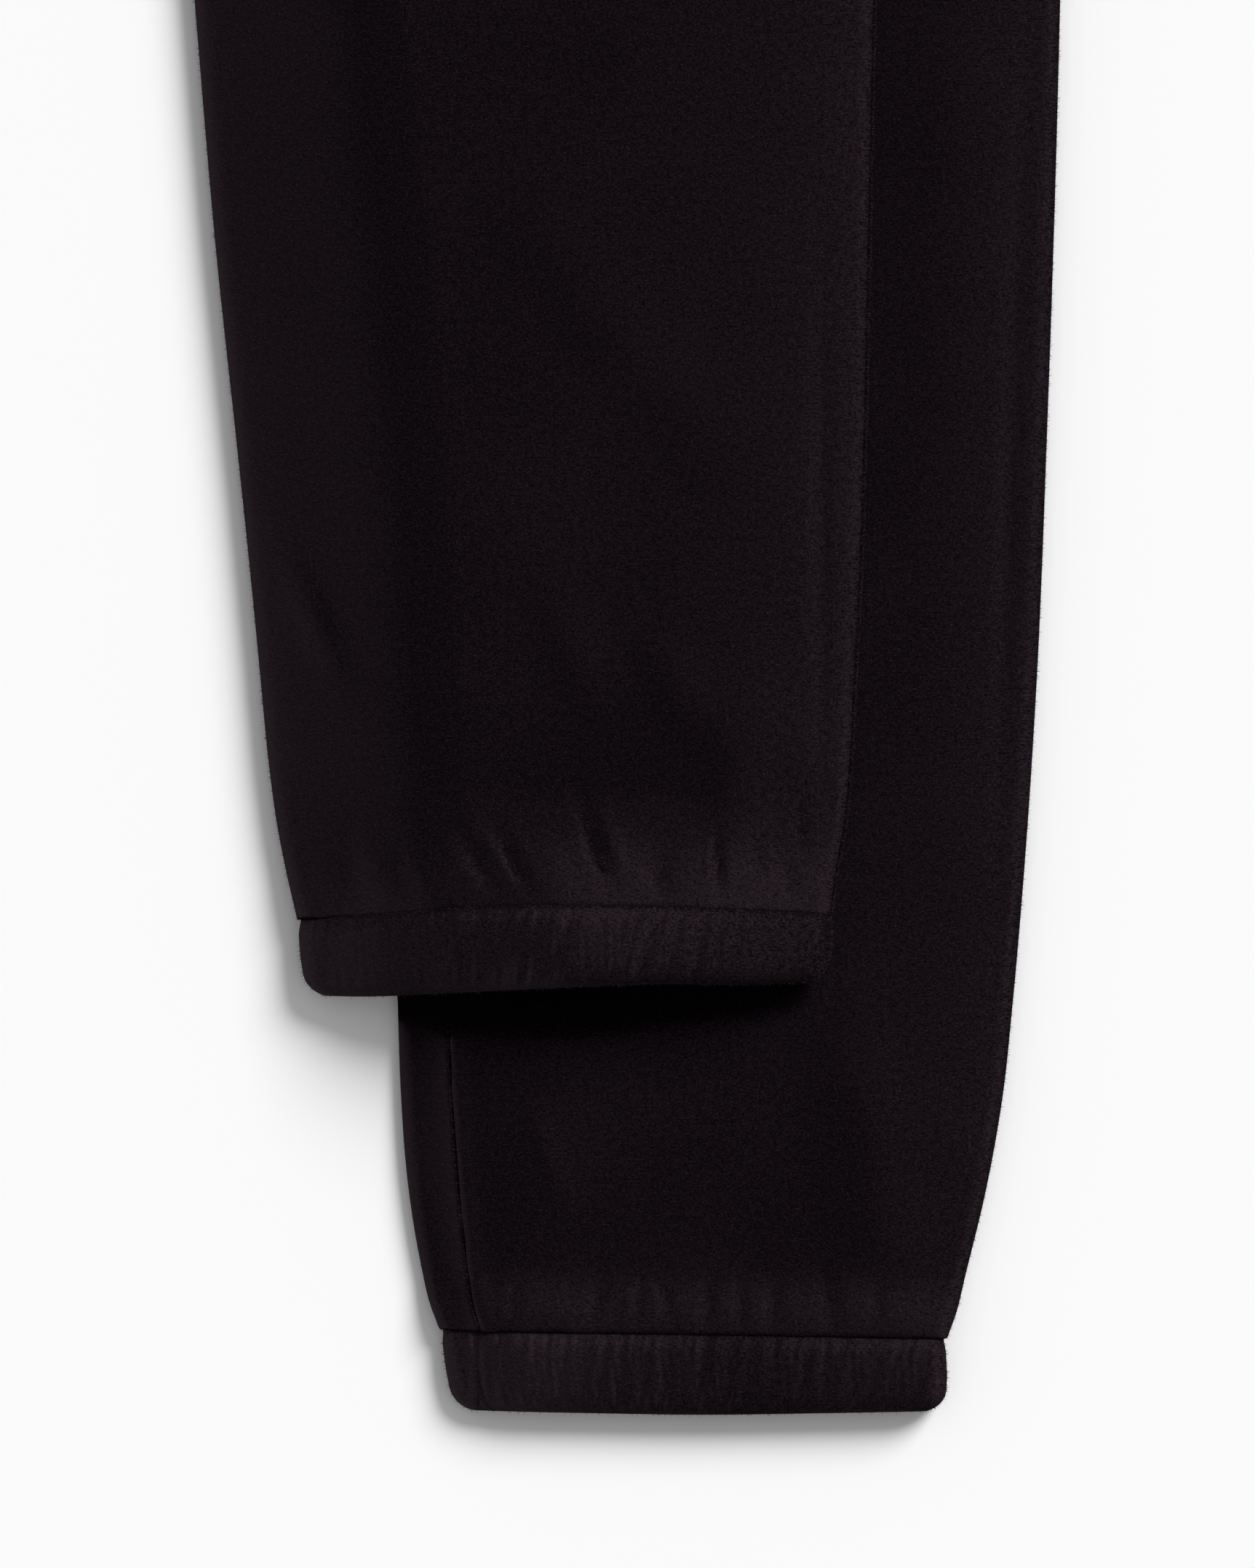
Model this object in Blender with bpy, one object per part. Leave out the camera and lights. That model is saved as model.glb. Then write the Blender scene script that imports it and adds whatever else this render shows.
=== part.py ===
"""Fleece jogger sweatpants, folded in half along the centre line and laid flat on a surface.

Four leg panels, two elastic cuffs and a waistband, each a closed wall of cloth. The wearer's
left half lies below with its front up. The right half lies on it with its back up, drawn a
hand's width towards the waist, and one crosswise tuck in its thigh takes up that length.

Every panel is first worked out flat: up = distance from the hem along the leg, x = across,
v = depth into the fold, from 0 at the back ply to FOLD at the plane the garment folds about.
Then it is carried along the path that its half of the garment follows. Hems point to -Y.
"""

import bpy
import numpy as np

MM = 0.001
RIGHT_ANGLE = np.pi / 2

# Cloth, in metres
CLOTH = 2.2 * MM             # brushed fleece wall
SEAM_GAP = 0.3 * MM          # between two pieces that are sewn together
PLY = 4.6 * MM               # middle of the back ply to middle of the front ply in a leg
TURN_IN = CLOTH / 2 + SEAM_GAP / 2   # middle of the front ply to the fold plane
FOLD = PLY + TURN_IN         # middle of the back ply to the fold plane

# Garment, in metres
CROTCH_UP = 750 * MM         # inseam, hem to crotch
WAIST_SEAM_UP = 980 * MM
WAISTBAND_DEPTH = 40 * MM
CUFF_DEPTH = 22 * MM
HEM_RISE = 116.4 * MM        # the upper leg's hem above the lower leg's
TUCK_RADIUS = 3.8 * MM       # bend of the upper leg's middle at each fold of the tuck
TUCK_DEPTH = (HEM_RISE - 2 * np.pi * TUCK_RADIUS) / 2
TUCK_TOP_Y = 580 * MM        # where the hidden fold of the tuck lies
SLOPE_END_Y = 705 * MM       # where the upper leg is down on the lower one again above the tuck
DROP = 2 * FOLD - PLY        # height of the upper leg's underside, and its fall to the surface
DROP_RUN = 60 * MM           # length of that fall, across
DROP_START = 22 * MM         # it starts this far inside the lower leg's edge
LEFT_PRESSED = 0.32          # the lower half is pressed thinner by this at its folded edge
PRESSED_RUN = 24 * MM        # and no longer this far in
CROTCH_BLEND = 16 * MM       # stretch over which four edges change partners at the crotch
OUTSEAM_TURN = np.radians(60)   # how far the back ply climbs the outseam edge
FRONT_EDGE = 2 * MM          # finely spaced strip along the front ply's inner edge
FLANK = (0.5, 0.72, 0.87)    # shares of the width at which the domes bend most

# Leg outlines, in millimetres: up the leg, inseam edge, outseam edge
LOWER_LEG = (
    # up    left     right
    (0, -51.9, 87.9),
    (22, -52.2, 88.0),
    (28, -54.1, 90.1),
    (40, -56.9, 93.1),
    (60, -60.1, 98.0),
    (88, -62.3, 103.1),
    (112, -63.1, 105.7),
    (150, -64.5, 109.0),
    (200, -66.8, 112.3),
    (272, -71.7, 115.3),
    (388, -82.3, 118.8),
    (500, -101.0, 120.5),
    (600, -125.0, 121.8),
    (680, -148.0, 122.6),
    (750, -174.0, 123.0),
)
UPPER_LEG = (
    (0, -89.4, 55.0),
    (22, -90.8, 56.3),
    (32, -93.1, 57.6),
    (48, -96.3, 60.4),
    (64, -98.5, 61.8),
    (88, -100.9, 63.0),
    (112, -103.3, 64.3),
    (150, -107.3, 65.6),
    (200, -112.7, 66.7),
    (272, -118.9, 68.3),
    (388, -128.0, 73.5),
    (500, -136.5, 85.0),
    (600, -148.0, 98.5),
    (680, -160.5, 110.0),
    (750, -174.0, 119.0),
)
# Seat outlines: both halves end at the same centre seam
SEAT = (
    # up   centre  outseam
    (757, -173.4, 123.1),
    (775, -164.0, 123.2),
    (800, -149.0, 123.0),
    (840, -133.0, 122.0),
    (900, -115.0, 118.0),
    (950, -101.0, 112.0),
    (980, -93.0, 107.0),
)
UPPER_SEAT_INSET = 4 * MM    # the upper half's outseam lies this far inside the lower half's

# Inseam: distance from the folded edge of the leg to the seam, on the front side
INSEAM_INSET = (
    # up   inset
    (0, 11.0),
    (22, 11.4),
    (50, 13.4),
    (110, 14.0),
    (500, 13.0),
    (640, 8.0),
    (742, 3.5),
    (980, 3.5),
)

# Shift of the hem and of the cuff seam along the leg, in millimetres
HEM_SLANT = {
    "lower": (
        # share  hem  seam
        (0.0, 1.0, 1.6),
        (0.25, 0.3, 0.8),
        (0.5, -0.2, 0.4),
        (0.75, 0.2, -0.2),
        (1.0, 0.8, -0.9),
    ),
    "upper": (
        (0.0, -1.6, -2.4),
        (0.1, -1.8, -1.4),
        (0.3, -0.5, 0.6),
        (0.5, 1.0, 1.4),
        (0.68, 1.9, 1.2),
        (0.85, 1.6, 0.2),
        (1.0, 2.6, -1.0),
    ),
}
SLANT_FADE = 120 * MM

# How far the middle of each half stands above its edges, and how flat it is to left and right
DOME = {"lower": (2.6 * MM, 9, 5), "upper": (3.6 * MM, 9, 5)}
DOME_AT_CUFF = 0.35          # share of it left where the leg meets the cuff
DOME_RUN = 60 * MM
TUCK_CALM = 120 * MM         # the upper half goes flat over this length below the tuck
# The upper leg's end stands off the leg below: share of the width, lift in millimetres
HEM_LIFT = (
    # share  lift
    (0.0, 0.2),
    (0.09, 0.4),
    (0.22, 3.2),
    (0.33, 5.6),
    (0.49, 10.6),
    (0.67, 10.2),
    (0.81, 8.8),
    (0.9, 3.4),
    (1.0, 0.4),
)
HEM_LIFT_REACH = 55 * MM

# Largest soft folds: place, half length, half width, direction and height, in millimetres.
# A stack fold lifts everything above the lowest ply, the others only one half's upper ply.
MAIN_FOLDS = (
    # where     x     y   length width  angle  height
    ("stack", -20, 300, 110, 34, 70, 0.9),
    ("stack", 20, 185, 80, 32, 80, 0.7),
    ("stack", 40, 650, 90, 44, 60, 1.2),
    ("stack", -50, 830, 80, 44, 20, 1.2),
    ("upper", 0, 294, 34, 13, 131, 0.5),
    ("upper", -30, 900, 60, 18, 75, 1.0),
    ("lower", 92, 330, 150, 16, 88, 0.7),
    ("lower", 66, 75, 40, 12, 96, 0.8),
    ("lower", -25, 60, 34, 16, 84, 0.5),
)

# Gathers that the elastic draws into the leg just above each cuff, in millimetres
GATHER_PITCH = 29
GATHER_HEIGHT = 0.9
GATHER_FADE = 26
SWELL = {"lower": (2.0, 17), "upper": (0.8, 20)}   # rise towards the thicker cuff, and reach

# Elastic casings
CUFF_WALL = 3.4 * MM         # two layers of fleece pressed round flat elastic
CUFF_PLY = 5.6 * MM          # middle of the lower wall to middle of the upper wall
CUFF_GATHERS = 14            # on the upper face
CUFF_GATHER_HEIGHT = 0.5 * MM
CUFF_GATHER_LEAN = 3.5 * MM
CUFF_CORNER = 8 * MM         # round of the hem's corners, seen from above
CUFF_PRESSED = {"lower": 0.32, "upper": 0.18}      # thinner by this at the folded edge
# Spacing of a cuff's walls: share of the depth from the hem, share of CUFF_PLY
CUFF_MOUTH = ((0.0, 0.78), (0.08, 0.9), (0.2, 1.02), (0.45, 1.1), (1.0, 1.08))
WAIST_WALL = 3.0 * MM
WAIST_PLY = 3.8 * MM
WAIST_GATHERS = 13
WAIST_GATHER_HEIGHT = 0.6 * MM
# Wall of a casing from the seam round the hem and back: depth from the hem, share of half a wall
CASING_PROFILE = (
    # depth  out
    (1.00, 0.45),
    (0.92, 0.95),
    (0.60, 1.10),
    (0.28, 1.08),
    (0.08, 0.72),
    (0.00, 0.00),
    (0.08, -0.72),
    (0.50, -1.00),
    (0.92, -0.95),
    (1.00, -0.45),
)

FLEECE_BLACK = (0.0075, 0.0068, 0.0078, 1.0)


def smooth(value):
    """Ease from 0 to 1 with level ends."""
    t = np.clip(value, 0.0, 1.0)
    return t * t * (3.0 - 2.0 * t)


def column(rows, index, at):
    """Read a table's column at any distance (metres in, metres out) along a smooth curve."""
    table = np.array(rows, float) * MM
    knots, values = table[:, 0], table[:, index]
    slopes = np.gradient(values, knots)
    at = np.clip(np.asarray(at, float), knots[0], knots[-1])
    i = np.clip(np.searchsorted(knots, at) - 1, 0, len(knots) - 2)
    step = knots[i + 1] - knots[i]
    t = (at - knots[i]) / step
    bend = (2 * t**3 - 3 * t**2 + 1) * values[i] + (3 * t**2 - 2 * t**3) * values[i + 1]
    return bend + step * ((t**3 - 2 * t**2 + t) * slopes[i] + (t**3 - t**2) * slopes[i + 1])


def outline(half, up):
    """Left and right edge of the lower or upper half at a distance up the leg."""
    leg = LOWER_LEG if half == "lower" else UPPER_LEG
    rows = leg + SEAT
    if half == "upper":
        inset = UPPER_SEAT_INSET / MM
        rows = leg + tuple((up_mm, left, right - inset) for up_mm, left, right in SEAT)
    return float(column(rows, 1, up)), float(column(rows, 2, up))


# ---- sections across the garment -------------------------------------------------------

def arc(centre_x, centre_v, radius, start, end, side, count):
    """Points and outward normals on a turn; angle 0 is level, side -1 opens left, +1 right.

    The turn's middle is (centre_x, centre_v). A point lies at (x + side r sin a, v - r cos a)
    for positive radius, and mirrored in v for a negative one.
    """
    angle = np.linspace(start, end, count)
    reach = abs(radius)
    x = centre_x + side * reach * np.sin(angle)
    v = centre_v - radius * np.cos(angle)
    normal = np.stack([side * np.sin(angle), -np.sign(radius) * np.cos(angle)], 1)
    return np.stack([x, v], 1), normal


def level(start, end, v, facing, count):
    """Points and normals on a level run, facing -1 or +1 in v."""
    x = np.linspace(start, end, count)
    points = np.stack([x, np.full(count, v)], 1)
    return points, np.tile([0.0, float(facing)], (count, 1))


def join(*pieces):
    """String pieces of a section together, dropping the shared end points."""
    points = [pieces[0][0]] + [piece[0][1:] for piece in pieces[1:]]
    normals = [pieces[0][1]] + [piece[1][1:] for piece in pieces[1:]]
    return np.concatenate(points), np.concatenate(normals)


def crotch_share(up):
    """0 in the leg, 1 in the seat, changing over the blend at the crotch."""
    return float(smooth((up - CROTCH_UP + CROTCH_BLEND / 2) / CROTCH_BLEND))


def lap_at(up):
    """How far the back ply runs on over the front side before it meets the inseam."""
    inset = float(column(INSEAM_INSET, 1, up))
    return max(inset - CLOTH / 2 - PLY / 2, 0.0)


def middle_run(left_end, right_end, knots, counts, v, facing):
    """A level run in stretches, so that bends of the surface fall on points."""
    stops = [left_end]
    for left_to_do, knot in zip(range(len(knots), 0, -1), sorted(knots)):
        last = right_end - left_to_do * MM
        stops.append(float(np.clip(knot, stops[-1] + 2 * MM, max(last, stops[-1] + MM))))
    stops.append(right_end)
    return join(*(level(start, end, v, facing, count + 1)
                  for start, end, count in zip(stops, stops[1:], counts)))


def back_section(left, right, up, knots, counts):
    """Back ply at v = 0: it turns round the folded edge to the inseam or centre back seam."""
    share = crotch_share(up)
    turn = np.pi - RIGHT_ANGLE * share
    reach = FOLD - SEAM_GAP / 2 + CLOTH / 2 * np.cos(turn)
    radius = reach / (1 - np.cos(turn))
    centre = left + CLOTH / 2 + radius
    lap = lap_at(up) * (1 - share)
    length = lap + radius * turn
    first = max(lap, length / 6)
    stops = np.concatenate([[0.0], np.linspace(first, length, 6)])
    angle = np.where(stops < lap, turn, turn - (stops - lap) / radius)
    x = centre - radius * np.sin(angle) + np.clip(lap - stops, 0.0, None)
    v = radius - radius * np.cos(angle)
    curl = np.stack([x, v], 1), np.stack([-np.sin(angle), -np.cos(angle)], 1)
    right_centre = right - CLOTH / 2 - PLY / 2
    run = middle_run(centre, right_centre, knots, counts, 0.0, -1)
    climb = OUTSEAM_TURN - SEAM_GAP / PLY
    return join(curl, run, arc(right_centre, PLY / 2, PLY / 2, 0.0, climb, 1, 3))


def front_section(left, right, up, knots, counts):
    """Front ply at v = PLY: from the inseam or centre front seam to the outseam."""
    share = crotch_share(up)
    leg_start = left + CLOTH / 2 + PLY / 2 + lap_at(up) + SEAM_GAP
    seat_start = left + CLOTH / 2 + FOLD
    start = leg_start + (seat_start - leg_start) * share
    turn = float(np.arccos(SEAM_GAP / 2 / TURN_IN)) * smooth(2 * share - 1)
    flat = FRONT_EDGE * (1 - turn / RIGHT_ANGLE)
    angle = np.linspace(turn, 0.0, 3)
    x = start - TURN_IN * np.sin(angle) + np.linspace(0.0, flat, 3)
    v = PLY + TURN_IN - TURN_IN * np.cos(angle)
    curl = np.stack([x, v], 1), np.stack([np.sin(angle), np.cos(angle)], 1)
    right_centre = right - CLOTH / 2 - PLY / 2
    run = middle_run(float(x[-1]), right_centre, knots, counts, PLY, 1)
    climb = np.pi - OUTSEAM_TURN - SEAM_GAP / PLY
    return join(curl, run, arc(right_centre, PLY / 2, -PLY / 2, 0.0, climb, 1, 4))


# ---- where each half lies --------------------------------------------------------------

def tuck_knots():
    """Distances up the upper leg at which its path starts and ends each bend of the tuck."""
    bend = np.pi * TUCK_RADIUS
    first = TUCK_TOP_Y - HEM_RISE
    second = first + bend
    third = second + TUCK_DEPTH
    return first, second, third, third + bend


def upper_path(up):
    """Y, height and heading of the upper leg's middle at a distance up the leg.

    The path runs level, turns back over itself at the tuck's hidden fold, runs back, turns
    again at the fold that shows, and then slopes down on to the lower half.
    """
    first, second, third, fourth = tuck_knots()
    radius = TUCK_RADIUS
    front_y = TUCK_TOP_Y - TUCK_DEPTH
    if up <= first:
        return HEM_RISE + up, 0.0, 0.0
    if up <= second:
        angle = (up - first) / radius
        return TUCK_TOP_Y + radius * np.sin(angle), radius * (1 - np.cos(angle)), angle
    if up <= third:
        return TUCK_TOP_Y - (up - second), 2 * radius, np.pi
    if up <= fourth:
        angle = (up - third) / radius
        return front_y - radius * np.sin(angle), radius * (3 - np.cos(angle)), np.pi - angle
    y = front_y + up - fourth
    fall = float(smooth((y - TUCK_TOP_Y) / (SLOPE_END_Y - TUCK_TOP_Y)))
    return y, 4 * radius * (1 - fall), 0.0


def drop(x, y):
    """Fall of the upper leg past the lower leg's edge, down to the surface."""
    edge = column(LOWER_LEG + SEAT, 1, y)
    return -DROP * smooth((edge + DROP_START - x) / DROP_RUN)


def pressed(x, left, amount):
    """Share of its height that a half or its cuff loses towards the folded edge."""
    return amount * (1 - smooth((x - left) / PRESSED_RUN))


def dome(share, up, half):
    """Rise of a half's middle above its edges, less of it at the cuff."""
    height, left_power, right_power = DOME[half]
    side = 2 * np.clip(share, 0.0, 1.0) - 1
    power = np.where(side < 0, left_power, right_power)
    full = DOME_AT_CUFF + (1 - DOME_AT_CUFF) * smooth((up - CUFF_DEPTH) / DOME_RUN)
    return height * full * (1 - np.abs(side) ** power)


def lower_dome(x, y):
    """Dome of the lower half under any point of the garment."""
    left, right = (column(LOWER_LEG + SEAT, k, y) for k in (1, 2))
    return dome((x - left) / (right - left), y, "lower")


def upper_dome(share, up):
    """Dome of the upper half, which lies flat in the tuck and just below it."""
    first, _, _, fourth = tuck_knots()
    calm = smooth((first - 40 * MM - up) / TUCK_CALM) + smooth((up - fourth) / DOME_RUN)
    return dome(share, up, "upper") * calm


def across(rows, index, share):
    """Read a table whose first column is a share of the width, at shares of the width."""
    table = np.array(rows, float)
    places = np.linspace(0, 1, 41)
    curve = column(table * [[100] + [1] * (table.shape[1] - 1)], index, places * 100 * MM)
    return np.interp(share, places, curve)


def hem_lift(share, up):
    """Lift of the upper leg's end off the leg below, fading up the leg."""
    return across(HEM_LIFT, 1, share) * float(smooth(1 - up / HEM_LIFT_REACH))


def soft_folds(x, y, where):
    """Height of the largest folds: long low mounds, each a bell across and along."""
    height = np.zeros_like(x)
    for place, fold_x, fold_y, length, width, angle, rise in MAIN_FOLDS:
        if place != where:
            continue
        along_x, along_y = np.cos(np.radians(angle)), np.sin(np.radians(angle))
        dx, dy = x - fold_x * MM, y - fold_y * MM
        along = (dx * along_x + dy * along_y) / (length * MM)
        across = (dx * along_y - dy * along_x) / (width * MM)
        height += rise * MM * np.exp(-along**2 - across**2)
    return height


def gathers(x, up, half):
    """Swell and gathers of the leg's upper ply above its cuff, both fading up the leg."""
    above = np.clip(up - CUFF_DEPTH, 0.0, None)
    phase = 0.9 if half == "upper" else 2.1
    wave = np.sin(2 * np.pi * x / (GATHER_PITCH * MM) + phase) ** 2
    rise, reach = SWELL[half]
    swell = rise * MM * smooth(1 - above / (reach * MM))
    return swell + GATHER_HEIGHT * MM * wave * np.exp(-(above / (GATHER_FADE * MM)) ** 2)


def waist_gathers(x, up):
    """Soft gathers of the top ply below the waistband."""
    below = np.clip(WAIST_SEAM_UP - up, 0.0, None)
    wave = np.sin(2 * np.pi * x / (38 * MM)) ** 2
    return WAIST_GATHER_HEIGHT * wave * np.exp(-(below / (45 * MM)) ** 2)


def hem_slant(share, up, half):
    """Shift of the hem line and the cuff seam along Y, fading up the leg."""
    along = min(up / CUFF_DEPTH, 1.0)
    fade = 1 - float(smooth((up - CUFF_DEPTH) / SLANT_FADE))
    at_hem, at_seam = (across(HEM_SLANT[half], k, share) for k in (1, 2))
    return (at_hem * (1 - along) + at_seam * along) * fade


def carry(x, v, up, half):
    """Take flat points (x, v) at a distance up the leg to their place on the surface."""
    left, right = outline(half, up)
    share = np.clip((x - left) / (right - left), 0.0, 1.0)
    if half == "lower":
        y = np.full_like(x, up)
        ply = np.clip(v / PLY, 0.0, 1.0)
        z = CLOTH / 2 + v + ply * (soft_folds(x, y, "stack") + lower_dome(x, y))
        z = z * (1 - pressed(x, left, LEFT_PRESSED))
    else:
        path_y, path_z, heading = upper_path(up)
        height = PLY / 2 - v
        y = path_y - height * np.sin(heading)
        ply = np.clip(1 - v / PLY, 0.0, 1.0)
        z = CLOTH / 2 + 2 * FOLD - PLY / 2 + path_z + height * np.cos(heading)
        z = z + drop(x, y) + soft_folds(x, y, "stack") + lower_dome(x, y)
        z = z + hem_lift(share, up) + ply * upper_dome(share, up)
        if up > CROTCH_UP:
            z = z + ply * waist_gathers(x, up)
    z = z + ply * (soft_folds(x, y, half) + gathers(x, up, half))
    return np.stack([x, y + hem_slant(share, up, half), z], 1)


# ---- solids ----------------------------------------------------------------------------

def stations(half):
    """Distances up the leg at which a panel has a section: close at cuff, tuck and crotch."""
    seam = CUFF_DEPTH + SEAM_GAP
    near_cuff = seam + np.array([0, 5, 12, 22, 36, 56]) * MM
    crotch = CROTCH_UP + np.array([-20, -8, -4, 0, 4, 8, 18, 34]) * MM
    waist = WAIST_SEAM_UP - np.array([56, 36, 20, 8, 0]) * MM
    seat = np.linspace(crotch[-1], waist[0], 5)[1:-1]
    if half == "lower":
        leg = np.linspace(near_cuff[-1], crotch[0], 13)[1:-1]
        return np.concatenate([near_cuff, leg, crotch, seat, waist])
    first, second, third, fourth = tuck_knots()
    leg = np.linspace(near_cuff[-1], first - 4 * MM, 10)[1:]
    bends = [np.linspace(first, second, 6), np.linspace(third, fourth, 6)]
    slope = np.linspace(fourth + 12 * MM, crotch[0], 8)[:-1]
    return np.concatenate([near_cuff, leg, *bends, slope, crotch, seat, waist])


def closed_mesh(name, grids, wrap_rows, wrap_columns):
    """One closed body from a grid of points (rows, columns, 3) that closes on itself."""
    rows, columns = grids.shape[:2]
    index = np.arange(rows * columns).reshape(rows, columns)
    if wrap_rows:
        index = np.concatenate([index, index[:1]])
    if wrap_columns:
        index = np.concatenate([index, index[:, :1]], 1)
    corners = [index[:-1, :-1], index[:-1, 1:], index[1:, 1:], index[1:, :-1]]
    faces = np.stack(corners, -1).reshape(-1, 4)
    return finished(name, grids.reshape(-1, 3), faces.tolist())


def finished(name, points, faces):
    """An object with its own fleece material, its faces pointing out."""
    mesh = bpy.data.meshes.new(name)
    mesh.from_pydata([tuple(point) for point in points], [], faces)
    mesh.update()
    first = np.array([face[0] for face in faces])
    volume = 0.0
    for k in range(1, len(faces[0]) - 1):
        a, b = (np.array([face[k + n] for face in faces]) for n in (0, 1))
        volume += np.einsum("ij,ij->i", points[first], np.cross(points[a], points[b])).sum()
    if volume < 0:
        mesh.flip_normals()
    material = bpy.data.materials.new(name + "_fleece")
    material.use_nodes = True
    shader = material.node_tree.nodes["Principled BSDF"]
    shader.inputs["Base Color"].default_value = FLEECE_BLACK
    shader.inputs["Roughness"].default_value = 0.95
    shader.inputs["Metallic"].default_value = 0.0
    mesh.materials.append(material)
    piece = bpy.data.objects.new(name, mesh)
    bpy.context.collection.objects.link(piece)
    return piece


def knots(half, section, up):
    """Where a section's points are set across: at bends of the lower half's surface for the
    two plies that face each other, and over a half's own width for the plies outside."""
    left, right = outline(half, up)
    path_y = up if half == "lower" else upper_path(up)[0]
    low_left, low_right = outline("lower", path_y)
    if section is front_section:
        places = [low_left + DROP_START]
        places += [low_left + share * (low_right - low_left) for share in FLANK]
        if half == "upper":
            places += [low_left + DROP_START - DROP_RUN, low_left]
        return places
    if half == "lower":
        return [left + PRESSED_RUN, right - 30 * MM]
    flank = [left + share * (right - left) for share in FLANK]
    return [left + 14 * MM, low_left + DROP_START, *flank]


def leg_panel(name, half, section, counts):
    """A back or front panel from cuff seam to waist seam, as one closed wall.

    Each section goes out along the outer side and back along the inner side, so a ring of
    points stands for the wall's cut edge all round, and two end rings are closed as caps.
    """
    rings = []
    for up in stations(half):
        left, right = outline(half, up)
        points, normals = section(left, right, up, knots(half, section, up), counts)
        outer = points + normals * CLOTH / 2
        inner = points - normals * CLOTH / 2
        ring = np.concatenate([outer, inner[::-1]])
        rings.append(carry(ring[:, 0], ring[:, 1], up, half))
    grid = np.array(rings)
    rows, count = grid.shape[:2]
    index = np.arange(rows * count).reshape(rows, count)
    around = np.concatenate([index, index[:, :1]], 1)
    sides = [around[:-1, :-1], around[:-1, 1:], around[1:, 1:], around[1:, :-1]]
    faces = np.stack(sides, -1).reshape(-1, 4).tolist()
    half_count = count // 2
    for k in range(half_count - 1):
        low, high = index[0], index[-1]
        faces.append([low[k], low[count - 1 - k], low[count - 2 - k], low[k + 1]])
        faces.append([high[k], high[k + 1], high[count - 2 - k], high[count - 1 - k]])
    faces = [[int(corner) for corner in face] for face in faces]
    return finished(name, grid.reshape(-1, 3), faces)


def casing_profile(depth, wall):
    """Depth from the hem and offset from the wall's middle, for one turn round the casing."""
    table = np.array(CASING_PROFILE)
    return table[:, 0] * depth, table[:, 1] * wall / 2


def cuff_loop(left, right, ply, top_count, bottom_count):
    """Middle of a flattened cuff ring: bottom run, right turn, top run, left turn."""
    radius = ply / 2
    first, last = left + CUFF_WALL / 2 + radius, right - CUFF_WALL / 2 - radius
    bottom = level(first, last, 0.0, -1, bottom_count)
    right_turn = arc(last, radius, radius, 0.0, np.pi, 1, 6)
    top = level(last, first, ply, 1, top_count)
    left_turn = arc(first, radius, -radius, 0.0, np.pi, -1, 6)
    points, normals = join(bottom, right_turn, top, left_turn)
    return points[:-1], normals[:-1]


def cuff(name, half):
    """Elastic casing at a hem: a flattened ring with gathers raised on its upper face."""
    depths, offsets = casing_profile(CUFF_DEPTH, CUFF_WALL)
    rings = []
    for depth, offset in zip(depths, offsets):
        left, right = outline(half, depth)
        bow = np.clip(1 - depth / CUFF_CORNER, 0.0, 1.0)
        round_in = CUFF_CORNER * (1 - np.sqrt(1 - (0.92 * bow) ** 2))
        ply = CUFF_PLY * float(np.interp(depth / CUFF_DEPTH, *zip(*CUFF_MOUTH)))
        points, normals = cuff_loop(left, right, ply, 4 * CUFF_GATHERS + 1, 15)
        middle, half_width = (left + right) / 2, (right - left) / 2
        points[:, 0] = middle + (points[:, 0] - middle) * (1 - round_in / half_width)
        share = (points[:, 0] - left) / (right - left)
        on_top = smooth(points[:, 1] / ply * 2 - 1)
        lean = CUFF_GATHER_LEAN * (depth / CUFF_DEPTH - 0.5)
        wave = np.cos(2 * np.pi * CUFF_GATHERS * (points[:, 0] - lean) / (right - left))
        body = np.sin(np.pi * np.clip(depth / CUFF_DEPTH, 0.0, 1.0)) ** 0.5
        spread = 0.45 + 0.55 * np.exp(-((share - 0.62) / 0.28) ** 2)
        raised = CUFF_GATHER_HEIGHT * wave * on_top * body * spread * float(offset > 0)
        ring = points + normals * (offset + raised)[:, None]
        rings.append(place_cuff(ring, ply, depth, half))
    grid = np.array(rings)
    return closed_mesh(name, grid, True, True)


def place_cuff(ring, ply, depth, half):
    """Set a ring of the casing down: its underside level on the surface or on the leg below."""
    x, v = ring[:, 0], ring[:, 1]
    left, right = outline(half, depth)
    share = np.clip((x - left) / (right - left), 0.0, 1.0)
    z = np.maximum(1.12 * CUFF_WALL / 2 + v, 0.0) * (1 - pressed(x, left, CUFF_PRESSED[half]))
    y = np.full_like(x, depth + (HEM_RISE if half == "upper" else 0.0))
    above = np.clip(v / ply, 0.0, 1.0)
    if half == "upper":
        z = z + DROP + drop(x, y) + soft_folds(x, y, "stack") + lower_dome(x, y)
        z = z + hem_lift(share, depth) + above * upper_dome(share, depth)
    else:
        z = z + above * (soft_folds(x, y, "stack") + lower_dome(x, y))
    return np.stack([x, y + hem_slant(share, depth, half), z], 1)


def waist_loop(left, right_low, right_high, top_count):
    """Middle of the folded waistband ring, from the lower outseam round to itself.

    Bottom run, outer turn at the centre back, top run, upper outseam turn, inner run, inner
    turn at the centre front, inner run back, lower outseam turn.
    """
    rim = WAIST_PLY / 2
    inner = WAIST_WALL / 2 + SEAM_GAP / 2
    plane = WAIST_PLY + inner
    centre = left + WAIST_WALL / 2 + plane
    low_end = right_low - WAIST_WALL / 2 - rim
    high_end = right_high - WAIST_WALL / 2 - rim
    top = 2 * plane
    pieces = [
        level(low_end, centre, 0.0, -1, 10),
        arc(centre, plane, plane, 0.0, np.pi, -1, 8),
        level(centre, high_end, top, 1, top_count),
        arc(high_end, top - rim, -rim, 0.0, np.pi, 1, 6),
        level(high_end, centre, top - WAIST_PLY, -1, 10),
        inner_turn(centre, plane, inner),
        level(centre, low_end, WAIST_PLY, 1, 10),
        arc(low_end, rim, -rim, 0.0, np.pi, 1, 6),
    ]
    points, normals = join(*pieces)
    return points[:-1], normals[:-1]


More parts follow.
